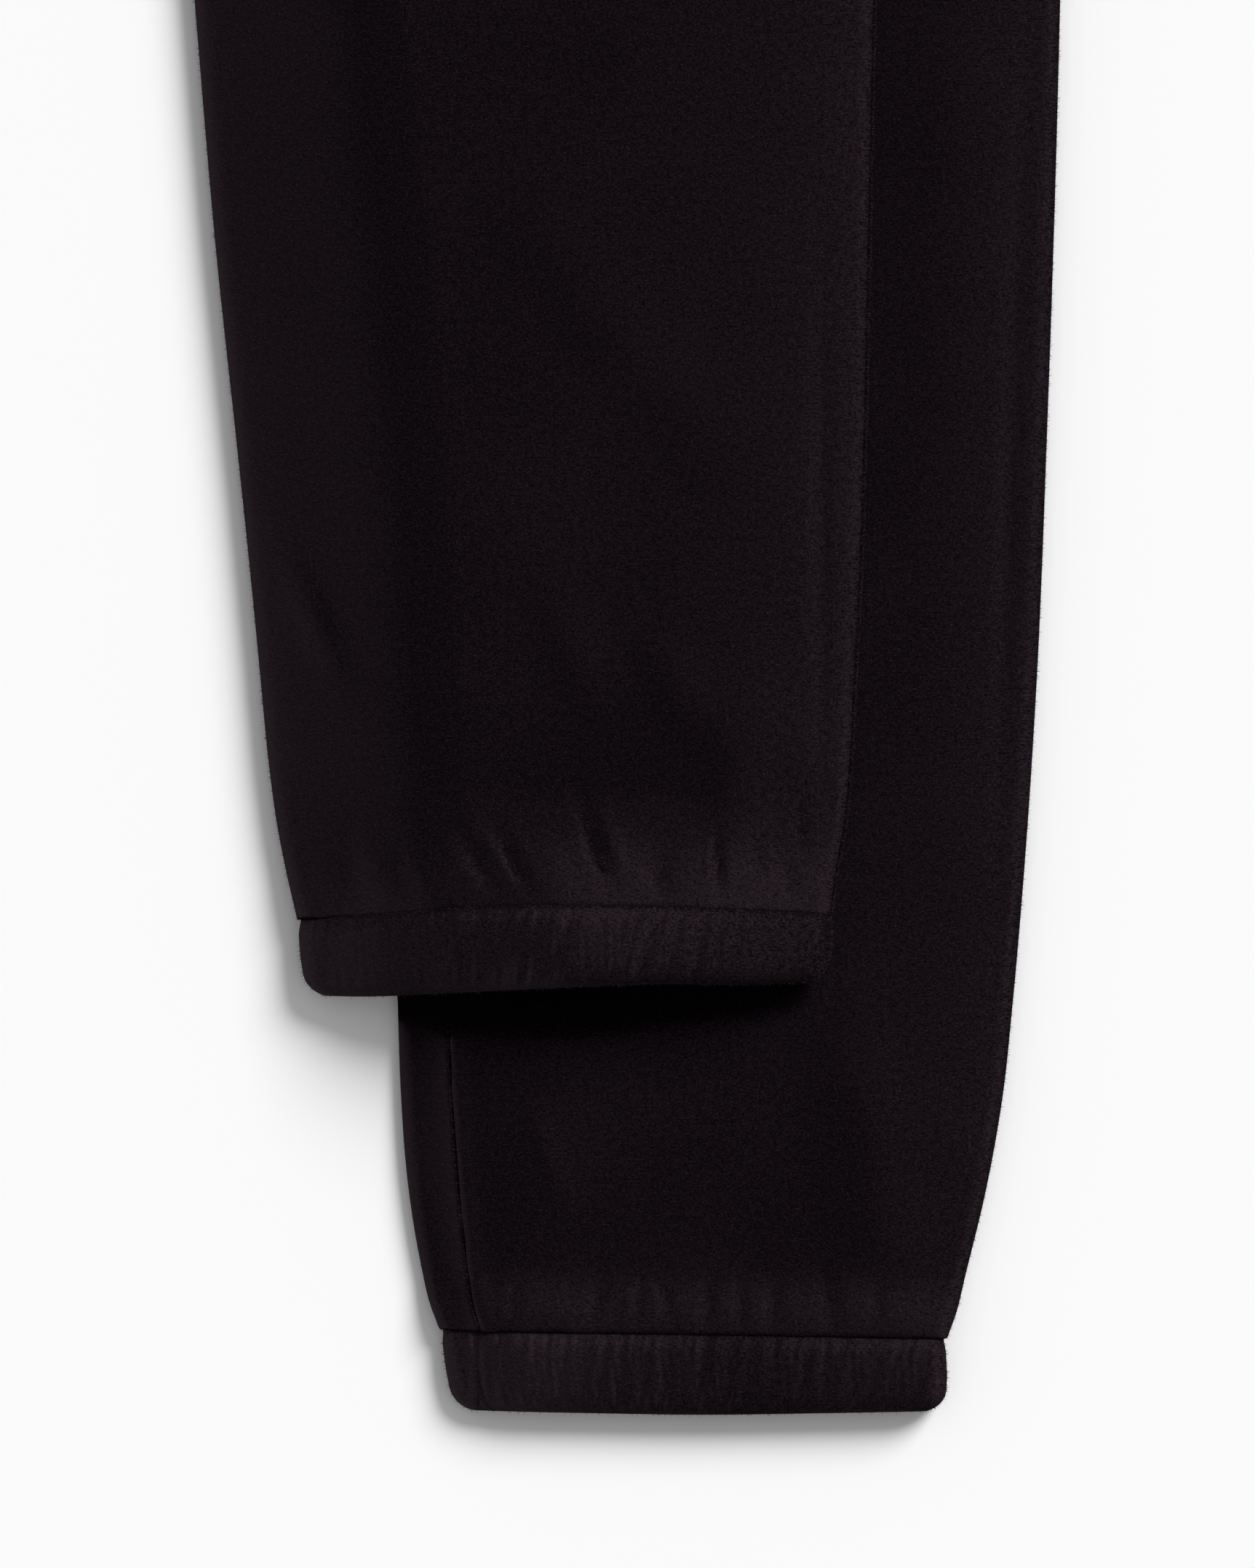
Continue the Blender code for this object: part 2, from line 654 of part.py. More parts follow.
def inner_turn(centre, plane, inner):
    """Turn at the centre front, whose outer side faces the middle of the turn."""
    points, normals = arc(centre, plane, -inner, 0.0, np.pi, -1, 5)
    return points, -normals


def waistband(name):
    """Elastic casing at the waist, folded with the garment, gathers raised on its top face."""
    depths, offsets = casing_profile(WAISTBAND_DEPTH, WAIST_WALL)
    rings = []
    low_left, low_right = outline("lower", WAIST_SEAM_UP)
    high_right = outline("upper", WAIST_SEAM_UP)[1]
    for depth, offset in zip(depths, offsets):
        points, normals = waist_loop(low_left, low_right, high_right, 4 * WAIST_GATHERS + 1)
        top = 2 * (WAIST_PLY + WAIST_WALL / 2 + SEAM_GAP / 2)
        on_top = smooth((points[:, 1] - top + WAIST_PLY / 2) / (WAIST_PLY / 2))
        wave = np.cos(2 * np.pi * WAIST_GATHERS * points[:, 0] / (high_right - low_left))
        body = np.sin(np.pi * np.clip(depth / WAISTBAND_DEPTH, 0.0, 1.0)) ** 0.5
        raised = WAIST_GATHER_HEIGHT * wave * on_top * body * float(offset > 0)
        capped = np.where(normals[:, 1] * np.sign(offset) < 0, min(abs(offset), WAIST_WALL / 2),
                          abs(offset)) * np.sign(offset)
        ring = points + normals * (capped + raised)[:, None]
        z = np.maximum(WAIST_WALL / 2 + ring[:, 1], 0.0)
        z = z - np.minimum(z, top / 2) * pressed(ring[:, 0], low_left, LEFT_PRESSED)
        share = (ring[:, 0] - low_left) / (high_right - low_left)
        over_first = np.clip(ring[:, 1] / WAIST_PLY, 0.0, 1.0)
        over_third = np.clip((ring[:, 1] - top) / WAIST_PLY + 1, 0.0, 1.0)
        z = z + over_first * lower_dome(ring[:, 0], np.full(len(ring), WAIST_SEAM_UP))
        z = z + over_third * upper_dome(share, WAIST_SEAM_UP)
        y = np.full(len(ring), WAIST_SEAM_UP + SEAM_GAP + WAISTBAND_DEPTH - depth)
        rings.append(np.stack([ring[:, 0], y, z], 1))
    return closed_mesh(name, np.array(rings), True, True)


def centre_on_origin(pieces):
    """Move every piece so that the origin is the middle of the underside's box."""
    corners = [np.array([vertex.co for vertex in piece.data.vertices]) for piece in pieces]
    points = np.concatenate(corners)
    low, high = points.min(0), points.max(0)
    shift = np.array([(low[0] + high[0]) / 2, (low[1] + high[1]) / 2, low[2]])
    for piece, own in zip(pieces, corners):
        piece.data.vertices.foreach_set("co", (own - shift).ravel())
        piece.data.update()


def build():
    """Make the whole garment."""
    for old in list(bpy.data.objects):
        bpy.data.objects.remove(old, do_unlink=True)
    pieces = [
        leg_panel("back_left", "lower", back_section, (1, 2, 2)),
        leg_panel("front_left", "lower", front_section, (2, 3, 2, 2, 3)),
        leg_panel("front_right", "upper", front_section, (1, 3, 3, 2, 2, 1, 2)),
        leg_panel("back_right", "upper", back_section, (3, 2, 2, 2, 2, 2)),
        cuff("cuff_left", "lower"),
        cuff("cuff_right", "upper"),
        waistband("waistband"),
    ]
    centre_on_origin(pieces)


build()
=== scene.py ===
"""Looks of the fleece jogger sweatpants, folded in half and laid flat.

Every piece of cloth is a closed wall on a grid. A point is worked out flat first: up is the
distance from the hem along the leg, x runs across, and v is the depth into the fold, from 0
at the back ply to FOLD at the plane the garment is folded about. lay() then takes it along
the path of its half of the garment and adds domes, folds, creases and puffs in real sizes.
"""

import bpy
import numpy as np
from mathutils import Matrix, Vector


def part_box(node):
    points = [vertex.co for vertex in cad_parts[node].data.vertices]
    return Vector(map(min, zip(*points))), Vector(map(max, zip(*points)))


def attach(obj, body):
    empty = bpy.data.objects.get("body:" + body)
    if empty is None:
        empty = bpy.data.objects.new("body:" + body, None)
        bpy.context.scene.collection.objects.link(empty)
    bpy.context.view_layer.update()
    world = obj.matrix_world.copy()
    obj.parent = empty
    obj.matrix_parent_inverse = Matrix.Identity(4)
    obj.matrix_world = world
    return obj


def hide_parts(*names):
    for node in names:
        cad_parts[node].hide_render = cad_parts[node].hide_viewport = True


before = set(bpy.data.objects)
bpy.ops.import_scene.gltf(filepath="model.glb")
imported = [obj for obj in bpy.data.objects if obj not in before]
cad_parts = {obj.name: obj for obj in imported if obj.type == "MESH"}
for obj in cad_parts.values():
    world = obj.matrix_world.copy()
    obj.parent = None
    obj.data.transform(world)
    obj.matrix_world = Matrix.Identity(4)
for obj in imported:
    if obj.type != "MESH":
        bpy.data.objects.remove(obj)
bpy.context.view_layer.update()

MM = 0.001
RIGHT_ANGLE = np.pi / 2

# ---- sizes of the cloth and the garment, in metres -------------------------------------
CLOTH = 2.2 * MM
SEAM_GAP = 0.06 * MM
THIN_RUN = 1.2 * MM                  # the cloth thins towards its seams over this width
EDGE_SHARE = 0.78                    # what is left of the wall's thickness at the seam
ALLOWANCE = 0.5 * MM                 # the leg runs on into its casing by this much
PLY = 4.6 * MM
TURN_IN = CLOTH / 2 + SEAM_GAP / 2
FOLD = PLY + TURN_IN
CROTCH_UP = 750 * MM
WAIST_SEAM_UP = 980 * MM
WAISTBAND_DEPTH = 40 * MM
CUFF_DEPTH = 22 * MM
HEM_RISE = 116.4 * MM
TUCK_RADIUS = 3.8 * MM
TUCK_DEPTH = (HEM_RISE - 2 * np.pi * TUCK_RADIUS) / 2
TUCK_TOP_Y = 580 * MM
SLOPE_END_Y = 705 * MM
DROP = 2 * FOLD - PLY
DROP_RUN = 60 * MM
DROP_START = 22 * MM                 # the drop starts this far inside the lower leg's edge
CROTCH_BLEND = 16 * MM
OUTSEAM_TURN = np.radians(60)
FRONT_EDGE = 2 * MM
SLANT_FADE = 120 * MM
UPPER_SEAT_INSET = 4 * MM
BRIDGED_TO, BRIDGE_FADE = 600 * MM, 100 * MM     # the upper leg bridges the lower's edge
WAIST_HALF = 107 * MM                # outseam's place at the waist seam, in the tables' x

# Leg outlines, in millimetres: up the leg, inseam edge, outseam edge
LOWER_LEG = (
    (0, -47.6, 87.0), (8, -49.4, 87.7), (22, -51.9, 88.0), (28, -54.1, 90.1), (40, -56.9, 93.1),
    (60, -60.1, 98.0), (88, -62.3, 103.1), (112, -63.1, 105.7), (150, -64.5, 109.0),
    (200, -66.8, 112.3), (272, -71.7, 115.3), (388, -82.3, 118.8), (500, -101.0, 120.5),
    (600, -125.0, 121.8), (680, -148.0, 122.6), (750, -174.0, 123.0),
)
UPPER_LEG = (
    (0, -87.8, 53.8), (8, -89.4, 55.2), (22, -90.8, 56.3), (32, -93.1, 57.6), (48, -96.3, 60.4),
    (64, -98.5, 61.8), (88, -100.9, 63.0), (112, -103.3, 64.3), (150, -107.3, 65.6),
    (200, -112.7, 66.7), (272, -118.9, 68.3), (388, -128.0, 73.5), (500, -136.5, 85.0),
    (600, -148.0, 98.5), (680, -160.5, 110.0), (750, -174.0, 119.0),
)
SEAT = (
    (757, -173.4, 123.1), (775, -164.0, 123.2), (800, -149.0, 123.0), (840, -133.0, 122.0),
    (900, -115.0, 118.0), (950, -101.0, 112.0), (980, -93.0, 107.0),
)
# Inseam: up the leg, distance from the folded edge to the seam on the front side
INSEAM_INSET = ((0, 11.0), (22, 11.4), (50, 13.4), (110, 14.0), (500, 13.0), (640, 8.0),
                (742, 3.5), (980, 3.5))
# Shift of the hem and of the cuff seam along the leg: share of the width, at hem, at seam
HEM_SLANT = {
    "lower": ((0.0, 1.0, 1.6), (0.25, 0.3, 0.8), (0.5, -0.2, 0.4), (0.75, 0.2, -0.2),
              (1.0, 0.8, -0.9)),
    "upper": ((0.0, -1.6, -2.4), (0.1, -1.8, -1.4), (0.3, -0.5, 0.6), (0.5, 1.0, 1.4),
              (0.68, 1.9, 1.2), (0.85, 1.6, 0.2), (1.0, 2.6, -1.0)),
}

# ---- relief, in millimetres ------------------------------------------------------------
# How far the middle of each leg stands above its edges, and how flat its left and right are
DOME = {"lower": (2.6, 9, 5.0), "upper": (3.6, 9, 5.0)}
DOME_AT_CUFF = 0.35                  # share of it left where the leg meets the cuff
DOME_RUN = 60
LEFT_PRESSED = 0.32                  # the lower half is pressed thinner by this at its left edge
CUFF_PRESSED = {"lower": 0.32, "upper": 0.18}
PRESSED_RUN = 24
TUCK_FLAT, TUCK_CALM = 40, 120       # below the tuck the upper half is flat, then recovers
# Upper hem stands off the leg below: share of the width, lift
HEM_LIFT = ((0.0, 0.2), (0.09, 0.4), (0.22, 3.2), (0.33, 5.6), (0.49, 10.2), (0.67, 9.2),
            (0.81, 6.6), (0.9, 4.4), (1.0, 1.8))
HEM_LIFT_REACH = 55
SWELL = {"lower": 2.0, "upper": 0.8}     # the leg swells where it meets the thicker cuff
SWELL_REACH = {"lower": 17, "upper": 20}
# Long soft folds: what they lift, place, half length, half width, direction, height
SOFT_FOLDS = (
    ("stack", -20, 300, 110, 34, 70, 0.9), ("stack", 20, 185, 80, 32, 80, 0.7),
    ("stack", 40, 650, 90, 44, 60, 1.2), ("stack", -50, 830, 80, 44, 20, 1.2),
    ("upper", -86, 218, 18, 4.5, 113, 0.5), ("upper", 0, 294, 34, 13, 131, 0.5),
    ("upper", -14, 207, 18, 7, 112, 0.3), ("upper", 13, 200, 16, 7, 119, 0.3),
    ("upper", 53, 240, 60, 2.4, 90, -0.35), ("upper", -30, 900, 60, 18, 75, 1.0),
    ("upper", 28, 160, 34, 9, 82, 0.7),
    ("lower", 92, 330, 150, 16, 88, 0.7), ("lower", 105, 260, 90, 2.6, 88, -0.3),
    ("lower", 66, 75, 40, 12, 96, 0.8), ("lower", -22, 70, 12, 4, 111, 0.25),
    ("lower", -25, 60, 34, 16, 84, 0.5),
)
# Creases: place of the middle, lean (x for each unit of y), half length, half width, depth
CREASES = {
    "upper": (
        (-30.9, 150.4, -0.51, 6.5, 1.9, 1.2), (-40.5, 150.6, -0.59, 8, 2.6, 0.8),
        (-8.1, 154.0, -0.33, 9, 2.3, 1.4), (24.9, 150.4, -0.05, 7.5, 1.2, 1.1),
        (43.9, 147.5, -0.1, 5.5, 1.8, 0.6), (47.9, 160.0, 0.0, 8, 1.8, 0.4),
        (8.5, 145.5, -0.1, 4.5, 2.6, 0.7), (-62.0, 148.0, -0.25, 8, 3.0, 0.35),
        (-76.0, 150.0, -0.2, 9, 3.2, 0.35), (35.5, 152.0, -0.15, 5, 1.6, 0.4),
    ),
    "lower": (
        (-31.0, 30.0, 0.1, 5, 1.6, 0.5), (-8.0, 31.0, 0.2, 6, 2.0, 0.6),
        (3.2, 30.0, 0.1, 5, 1.2, 0.5), (10.5, 31.0, -0.2, 5, 1.6, 0.5),
        (22.0, 30.5, 0.15, 6, 1.8, 0.6), (30.8, 30.0, 0.0, 5, 1.1, 0.5),
        (40.0, 31.0, 0.1, 6, 2.0, 0.6), (55.0, 32.0, -0.1, 7, 2.0, 0.6),
        (68.5, 31.0, 0.1, 6, 1.6, 0.4),
    ),
}
CREASE_DEPTH = {"upper": 0.42, "lower": 0.32}
# Puffs of spare cloth between the creases: place, half width, half length, height
PUFFS = {
    "upper": ((-19.9, 148.4, 6.5, 7.5, 1.2), (16.7, 150.4, 5.5, 8.5, 1.1),
              (35.5, 145.0, 5.5, 4.5, 0.7), (-52.0, 146.0, 8.0, 5.0, 0.4),
              (51.5, 147.0, 3.0, 6.0, 0.5)),
    "lower": ((-19.3, 28.0, 8.0, 5.5, 0.9), (0.0, 29.0, 3.0, 6.0, 0.6),
              (6.4, 28.0, 3.2, 5.0, 0.6), (16.5, 27.0, 5.0, 4.5, 0.6),
              (27.0, 29.0, 3.2, 6.0, 0.6), (34.6, 29.0, 3.4, 6.0, 0.7),
              (47.5, 27.5, 6.0, 4.5, 0.6), (62.0, 31.0, 4.0, 8.0, 0.7),
              (-36.0, 27.0, 4.0, 4.5, 0.5), (76.0, 27.0, 6.0, 4.5, 0.5)),
}
INSEAM_RIDGE = (1.5, 0.7, 3.6)       # ridge over the seam allowance: offset, height, half width
RIDGE_TO, RIDGE_FADE = 112, 10       # it is needed only below the upper hem

# Casings: wall and spacing in metres
CUFF_WALL = 3.4 * MM
CUFF_PLY = 5.6 * MM
CUFF_CORNER = 6 * MM
CUFF_SIZED_AT = 12 * MM              # depth at which the straight ring is as wide as the leg
# Spacing of the cuff's two walls: share of the depth from the hem, share of CUFF_PLY
CUFF_MOUTH = ((0.0, 0.78), (0.08, 0.9), (0.2, 1.02), (0.45, 1.1), (1.0, 1.08))
WAIST_WALL = 3.0 * MM
WAIST_PLY = 3.8 * MM
WAIST_GATHERS, WAIST_GATHER_HEIGHT = 15, 0.45 * MM
# Gathers on each cuff's upper face: place at mid depth, lean, half width, depth
CUFF_GATHERS = {
    "upper": (
        (-62.0, 0.1, 1.6, 0.15), (-49.7, 0.15, 1.5, 0.25), (-42.9, 0.2, 1.3, 0.3),
        (-33.7, 0.22, 1.3, 0.6), (-26.1, 0.3, 1.2, 0.5), (-18.7, 0.48, 1.4, 0.95),
        (-10.1, 0.35, 1.2, 0.7), (-4.3, 0.35, 1.1, 0.5), (5.5, 0.34, 1.4, 0.95),
        (12.9, 0.1, 1.1, 0.5), (19.5, 0.1, 1.2, 0.85), (24.9, 0.05, 1.0, 0.4),
        (29.5, 0.05, 1.0, 0.35), (36.5, 0.1, 1.3, 0.35), (45.5, 0.05, 1.4, 0.25),
    ),
    "lower": (
        (-32.5, 0.1, 1.5, 0.25), (-12.0, 0.15, 1.4, 0.3), (-2.1, 0.2, 1.4, 0.55),
        (3.5, 0.15, 1.1, 0.35), (9.7, 0.2, 1.2, 0.55), (20.1, 0.25, 1.4, 0.85),
        (27.1, 0.2, 1.1, 0.45), (32.9, 0.22, 1.2, 0.55), (39.9, 0.15, 1.2, 0.5),
        (48.1, 0.1, 1.2, 0.45), (53.9, 0.1, 1.1, 0.45), (60.7, 0.05, 1.2, 0.35),
        (67.5, 0.05, 1.4, 0.25),
    ),
}
GATHER_DEPTH = 0.25
# Fine crinkles between the gathers: wavelength, lean, height, phase
CRINKLES = ((2.3, 0.3, 0.035, 1.1), (3.1, 0.42, 0.05, 2.0), (4.7, 0.25, 0.06, 0.4),
            (7.3, 0.35, 0.07, 2.9))
CUFF_SEAM_X = -41.0 * MM             # the lower cuff's own seam, in line with the inseam

# ---- the seam attribute: painted shade above 0, painted light below 0 --
SEAM_SHADE = 0.7 * MM                # painted shade at a seam, where the pile also closes in its crease, reaches this far
# strength of the painted seam shade on the panels, at the hem and along the lower cuff's seam
SEAM_LINE = {"panel": 0.75, "hem": 0.45, "cuff": 0.6}
CREASE_SHADE = 0.38                  # how strong the painted shade is in the deepest troughs
# Painted light and shade across each cuff, where it bulges: share of a cuff's width, amount; and
# painted light this much above the cuff, where the leg swells up to it
CUFF_PAINTED_LIGHT = {"lower": ((0.0, 0.2), (0.1, 0.5), (0.2, 0.6), (0.35, 0.15), (0.6, -0.1), (1.0, 0.2)),
          "upper": ((0.0, 0.0), (0.1, -0.03), (0.2, -0.1), (0.4, 0.0), (0.6, 0.0), (0.8, -0.1),
                    (1.0, -0.12))}
PAINTED_LIGHT_ABOVE_CUFF, PAINTED_LIGHT_REACH = 0.25, 26
INSEAM_HIGHLIGHT = (2.8, 1.8, 0.5)      # painted highlight beside the inseam, over its ridge: offset, half width, amount
# The lower leg is out of the light under the upper hem: share of the width, reach below it
HEM_SHADE = ((0.0, 0.0), (0.18, 3.0), (0.27, 6.5), (0.53, 8.0), (0.82, 2.0), (1.0, 0.0))
HEM_SHADE_SOFT, HEM_SHADE_END = 9 * MM, 0.06

# Loose fibre tips on the outline: count for each square millimetre, sizes in millimetres
PILE_DENSITY = 1.6
PILE_STEEP = 0.75                    # only where the cloth is steeper than this normal's height
PILE_LENGTH = (0.3, 1.3)
PILE_WIDTH = 0.12
PILE_JITTER = 0.45
PILE_ROOT = 0.1                      # how deep its root is set
PILE_ABOVE_BOARD = 0.03
PILE_SEED = 7

# ---- brushed fleece --------------------------------------------------------------------
# Shade runs from 0, the closed pile's black, to 1, the colour of a bare fibre tip; painted light
# and shade move it too
CLOSED_PILE, FIBRE = "#0a0609", "#42373f"
FLECK = (0.8 * MM, 0.55 * MM)        # across the leg and along it
TUFT, TUFT_SHARE = 1.8 * MM, 0.3
PATCH, PATCH_SHARE = 30 * MM, 0.08
PILE_MEAN = 0.5 * (1 + TUFT_SHARE + PATCH_SHARE)
BRIGHT_TIP = 0.55 * MM
FLAT_SHADE = 0.047                   # shade of level cloth
GRAIN, LIT_GRAIN, OPEN_GRAIN = 0.45, 4.5, 3.0
SEAM_WEIGHT = -0.12                  # what the seam attribute's painted shade and painted light add
STRETCHED = 0.035                    # what stretching by elastic adds
PAINTED_LIGHT_FROM = (0.9, 0.42, 0.0)         # level direction of the window, for painted light and shade by slope
# Painted light and shade by how a slope faces the window: from and to, as a share of facing it,
# then the two shades
WINDOW_LIGHT = ((-0.04, 0.22), (-0.01, 0.1))
STEEP_SHADE = ((0.35, 0.8), (0.0, -0.08))
# painted pale sheen on the edges that turn away from the window
PAINTED_RIM_SHEEN = ((-0.16, -0.75), (0.0, 0.54))
AWAY_FROM_SEAM = ((0.0, 0.16), (1.0, 0.0))

# ---- camera, light and floor -----------------------------------------------------------
VIEW_HEIGHT = 431.2 * MM
HEM_FROM_VIEW_BOTTOM = 42.8 * MM     # lower hem above the bottom of the view
VIEW_CENTRE_Y = VIEW_HEIGHT / 2 - HEM_FROM_VIEW_BOTTOM
CAMERA_HEIGHT = 2.6
SENSOR = 36.0
KEY_AZIMUTH, KEY_ELEVATION, KEY_ANGLE = 47.0, 32.0, 28.0
KEY_STRENGTH = 3.98
SKY_STRENGTH = 0.41
FLOOR_REACH, FLOOR_BELOW = 6.0, 0.1 * MM


def smooth(value):
    """Ease from 0 to 1 with level ends."""
    t = np.clip(value, 0.0, 1.0)
    return t * t * (3.0 - 2.0 * t)


def column(rows, index, at):
    """Read a table's column at any distance (metres in and out) along a smooth curve."""
    table = np.array(rows, float)
    knots, values = table[:, 0] * MM, table[:, index] * MM
    slopes = np.gradient(values, knots)
    at = np.clip(np.asarray(at, float), knots[0], knots[-1])
    i = np.clip(np.searchsorted(knots, at) - 1, 0, len(knots) - 2)
    step = knots[i + 1] - knots[i]
    t = (at - knots[i]) / step
    bend = (2 * t**3 - 3 * t**2 + 1) * values[i] + (3 * t**2 - 2 * t**3) * values[i + 1]
    return bend + step * ((t**3 - 2 * t**2 + t) * slopes[i] + (t**3 - t**2) * slopes[i + 1])


def by_share(rows, index, share):
    """Read a table whose first column is a share of the width, along a smooth curve."""
    hundredths = tuple((row[0] * 100, row[index]) for row in rows)
    places = np.linspace(0, 1, 41)
    return np.interp(share, places, column(hundredths, 1, places * 100 * MM))


def edges(half, up):
    """Left and right edge of the lower or upper half at distances up the leg."""
    if half == "lower":
        rows = LOWER_LEG + SEAT
    else:
        inset = UPPER_SEAT_INSET / MM
        rows = UPPER_LEG + tuple((row, left, right - inset) for row, left, right in SEAT)
    return column(rows, 1, up), column(rows, 2, up)


# ---- sections across the garment -------------------------------------------------------
def runs_across(start, end, count):
    """Evenly spaced positions from start to end in each row."""
    return start + (end - start) * np.linspace(0.0, 1.0, count)[None, :]


def strung(*pieces):
    """Put stretches of a section side by side; the end of one is the start of the next."""
    columns = [[pieces[0][k]] + [piece[k][:, 1:] for piece in pieces[1:]] for k in range(4)]
    x, v, nx, nv = (np.concatenate(parts, 1) for parts in columns)
    steps = np.hypot(np.diff(x, axis=1), np.diff(v, axis=1))
    along = np.concatenate([np.zeros_like(x[:, :1]), np.cumsum(steps, 1)], 1)
    return x, v, nx, nv, along


def crotch_share(up):
    """0 in the leg, 1 in the seat, changing over the blend at the crotch."""
    return smooth((up - CROTCH_UP + CROTCH_BLEND / 2) / CROTCH_BLEND)


def lap_at(up):
    """How far the back ply runs on over the front side before it meets the inseam."""
    return np.maximum(column(INSEAM_INSET, 1, up) - CLOTH / 2 - PLY / 2, 0.0)


def back_ply(left, right, up, counts):
    """Back ply, level at v = 0. It starts at the inseam or centre back seam, laps back over
    the front side, turns round the folded edge on an arc, runs level and climbs the outseam
    edge on an arc of OUTSEAM_TURN."""
    share = crotch_share(up)
    turn = np.pi - RIGHT_ANGLE * share
    reach = FOLD - SEAM_GAP / 2 + CLOTH / 2 * np.cos(turn)
    radius = reach / (1 - np.cos(turn))
    centre = left + CLOTH / 2 + radius
    lap = lap_at(up) * (1 - share)
    stops = runs_across(np.zeros_like(up), lap + radius * turn, counts[0])
    angle = np.where(stops < lap, turn, turn - (stops - lap) / radius)
    x = centre - radius * np.sin(angle) + np.clip(lap - stops, 0.0, None)
    curl = x, radius - radius * np.cos(angle), -np.sin(angle), -np.cos(angle)
    last = right - CLOTH / 2 - PLY / 2
    level_x = runs_across(centre, last, counts[1])
    level = level_x, 0 * level_x, 0 * level_x, 0 * level_x - 1
    angle = runs_across(0 * up, 0 * up + OUTSEAM_TURN - SEAM_GAP / PLY, counts[2])
    climb = last + PLY / 2 * np.sin(angle), PLY / 2 * (1 - np.cos(angle))
    return strung(curl, level, (*climb, np.sin(angle), -np.cos(angle)))


def front_ply(left, right, up, counts):
    """Front ply, level at v = PLY. It starts at the inseam, or in the seat turned in to the
    centre front seam, runs level and comes down round the outseam edge on an arc."""
    share = crotch_share(up)
    leg_start = left + CLOTH / 2 + PLY / 2 + lap_at(up) + SEAM_GAP
    start = leg_start + (left + CLOTH / 2 + FOLD - leg_start) * share
    turn = np.arccos(SEAM_GAP / 2 / TURN_IN) * smooth(2 * share - 1)
    flat = FRONT_EDGE * (1 - turn / RIGHT_ANGLE)
    angle = runs_across(turn, 0 * turn, counts[0])
    x = start - TURN_IN * np.sin(angle) + runs_across(0 * flat, flat, counts[0])
    curl = x, PLY + TURN_IN * (1 - np.cos(angle)), np.sin(angle), np.cos(angle)
    last = right - CLOTH / 2 - PLY / 2
    level_x = runs_across(x[:, -1:], last, counts[1])
    level = level_x, 0 * level_x + PLY, 0 * level_x, 0 * level_x + 1
    angle = runs_across(0 * up, 0 * up + np.pi - OUTSEAM_TURN - SEAM_GAP / PLY, counts[2])
    fall = last + PLY / 2 * np.sin(angle), PLY - PLY / 2 * (1 - np.cos(angle))
    return strung(curl, level, (*fall, np.sin(angle), np.cos(angle)))


# ---- where each half lies --------------------------------------------------------------
def tuck_knots():
    """Distances up the upper leg at which its path starts and ends each bend of the tuck."""
    bend = np.pi * TUCK_RADIUS
    first = TUCK_TOP_Y - HEM_RISE
    return first, first + bend, first + bend + TUCK_DEPTH, first + 2 * bend + TUCK_DEPTH


def upper_path(up):
    """Y, height and heading of the upper leg's middle: level, half a turn back over itself,
    level, half a turn forward, and then a slope down on to the lower half."""
    first, second, third, fourth = tuck_knots()
    radius, front_y = TUCK_RADIUS, TUCK_TOP_Y - TUCK_DEPTH
    one, two = (up - first) / radius, (up - third) / radius
    last_y = front_y + up - fourth
    fall = 4 * radius * (1 - smooth((last_y - TUCK_TOP_Y) / (SLOPE_END_Y - TUCK_TOP_Y)))
    where = [up <= first, up <= second, up <= third, up <= fourth]
    y = np.select(where, [HEM_RISE + up, TUCK_TOP_Y + radius * np.sin(one),
                          TUCK_TOP_Y - (up - second), front_y - radius * np.sin(two)], last_y)
    z = np.select(where, [0 * up, radius * (1 - np.cos(one)), 0 * up + 2 * radius,
                          radius * (3 - np.cos(two))], fall)
    return y, z, np.select(where, [0 * up, one, 0 * up + np.pi, np.pi - two], 0 * up)


def drop(x, y):
    """Fall of the upper leg beyond the lower leg's edge, down to the surface."""
    edge = column(LOWER_LEG + SEAT, 1, y)
    return -DROP * smooth((edge + DROP_START - x) / DROP_RUN)


def pressed(x, left, amount):
    """Share of its height that a half or its cuff loses towards the folded edge."""
    return amount * (1 - smooth((x - left) / (PRESSED_RUN * MM)))


def dome(share, up, half):
    """Rise of a leg's middle above its edges: level in the middle, with a short flank on the
    folded side and a longer one on the outseam side, and less of it at the cuff."""
    height, left_power, right_power = DOME[half]
    side = 2 * np.clip(share, 0.0, 1.0) - 1
    power = np.where(side < 0, left_power, right_power)
    full = DOME_AT_CUFF + (1 - DOME_AT_CUFF) * smooth((up - CUFF_DEPTH) / (DOME_RUN * MM))
    return height * MM * full * (1 - np.abs(side) ** power)


def lower_dome(x, y):
    """Dome of the lower half under any point of the garment."""
    left, right = edges("lower", y)
    return dome((x - left) / (right - left), y, "lower")


def under_upper(x, y):
    """Height that the lower half's dome gives the upper half: in the leg the cloth bridges
    the lower half's folded edge and comes down with the drop, in the seat it lies close."""
    height = DOME["lower"][0] * MM
    middle = sum(edges("lower", y)) / 2
    bridged = height * (1 + drop(x, y) / DROP)
    leg = 1 - smooth((y - BRIDGED_TO) / BRIDGE_FADE)
    close = lower_dome(x, y)
    return close + leg * (x < middle) * (np.maximum(bridged, close) - close)


def upper_dome(share, up):
    """Dome of the upper half, which lies flat in the tuck and just below it."""
    first, _, _, fourth = tuck_knots()
    calm = smooth((first - TUCK_FLAT * MM - up) / (TUCK_CALM * MM))
    return dome(share, up, "upper") * (calm + smooth((up - fourth) / (DOME_RUN * MM)))


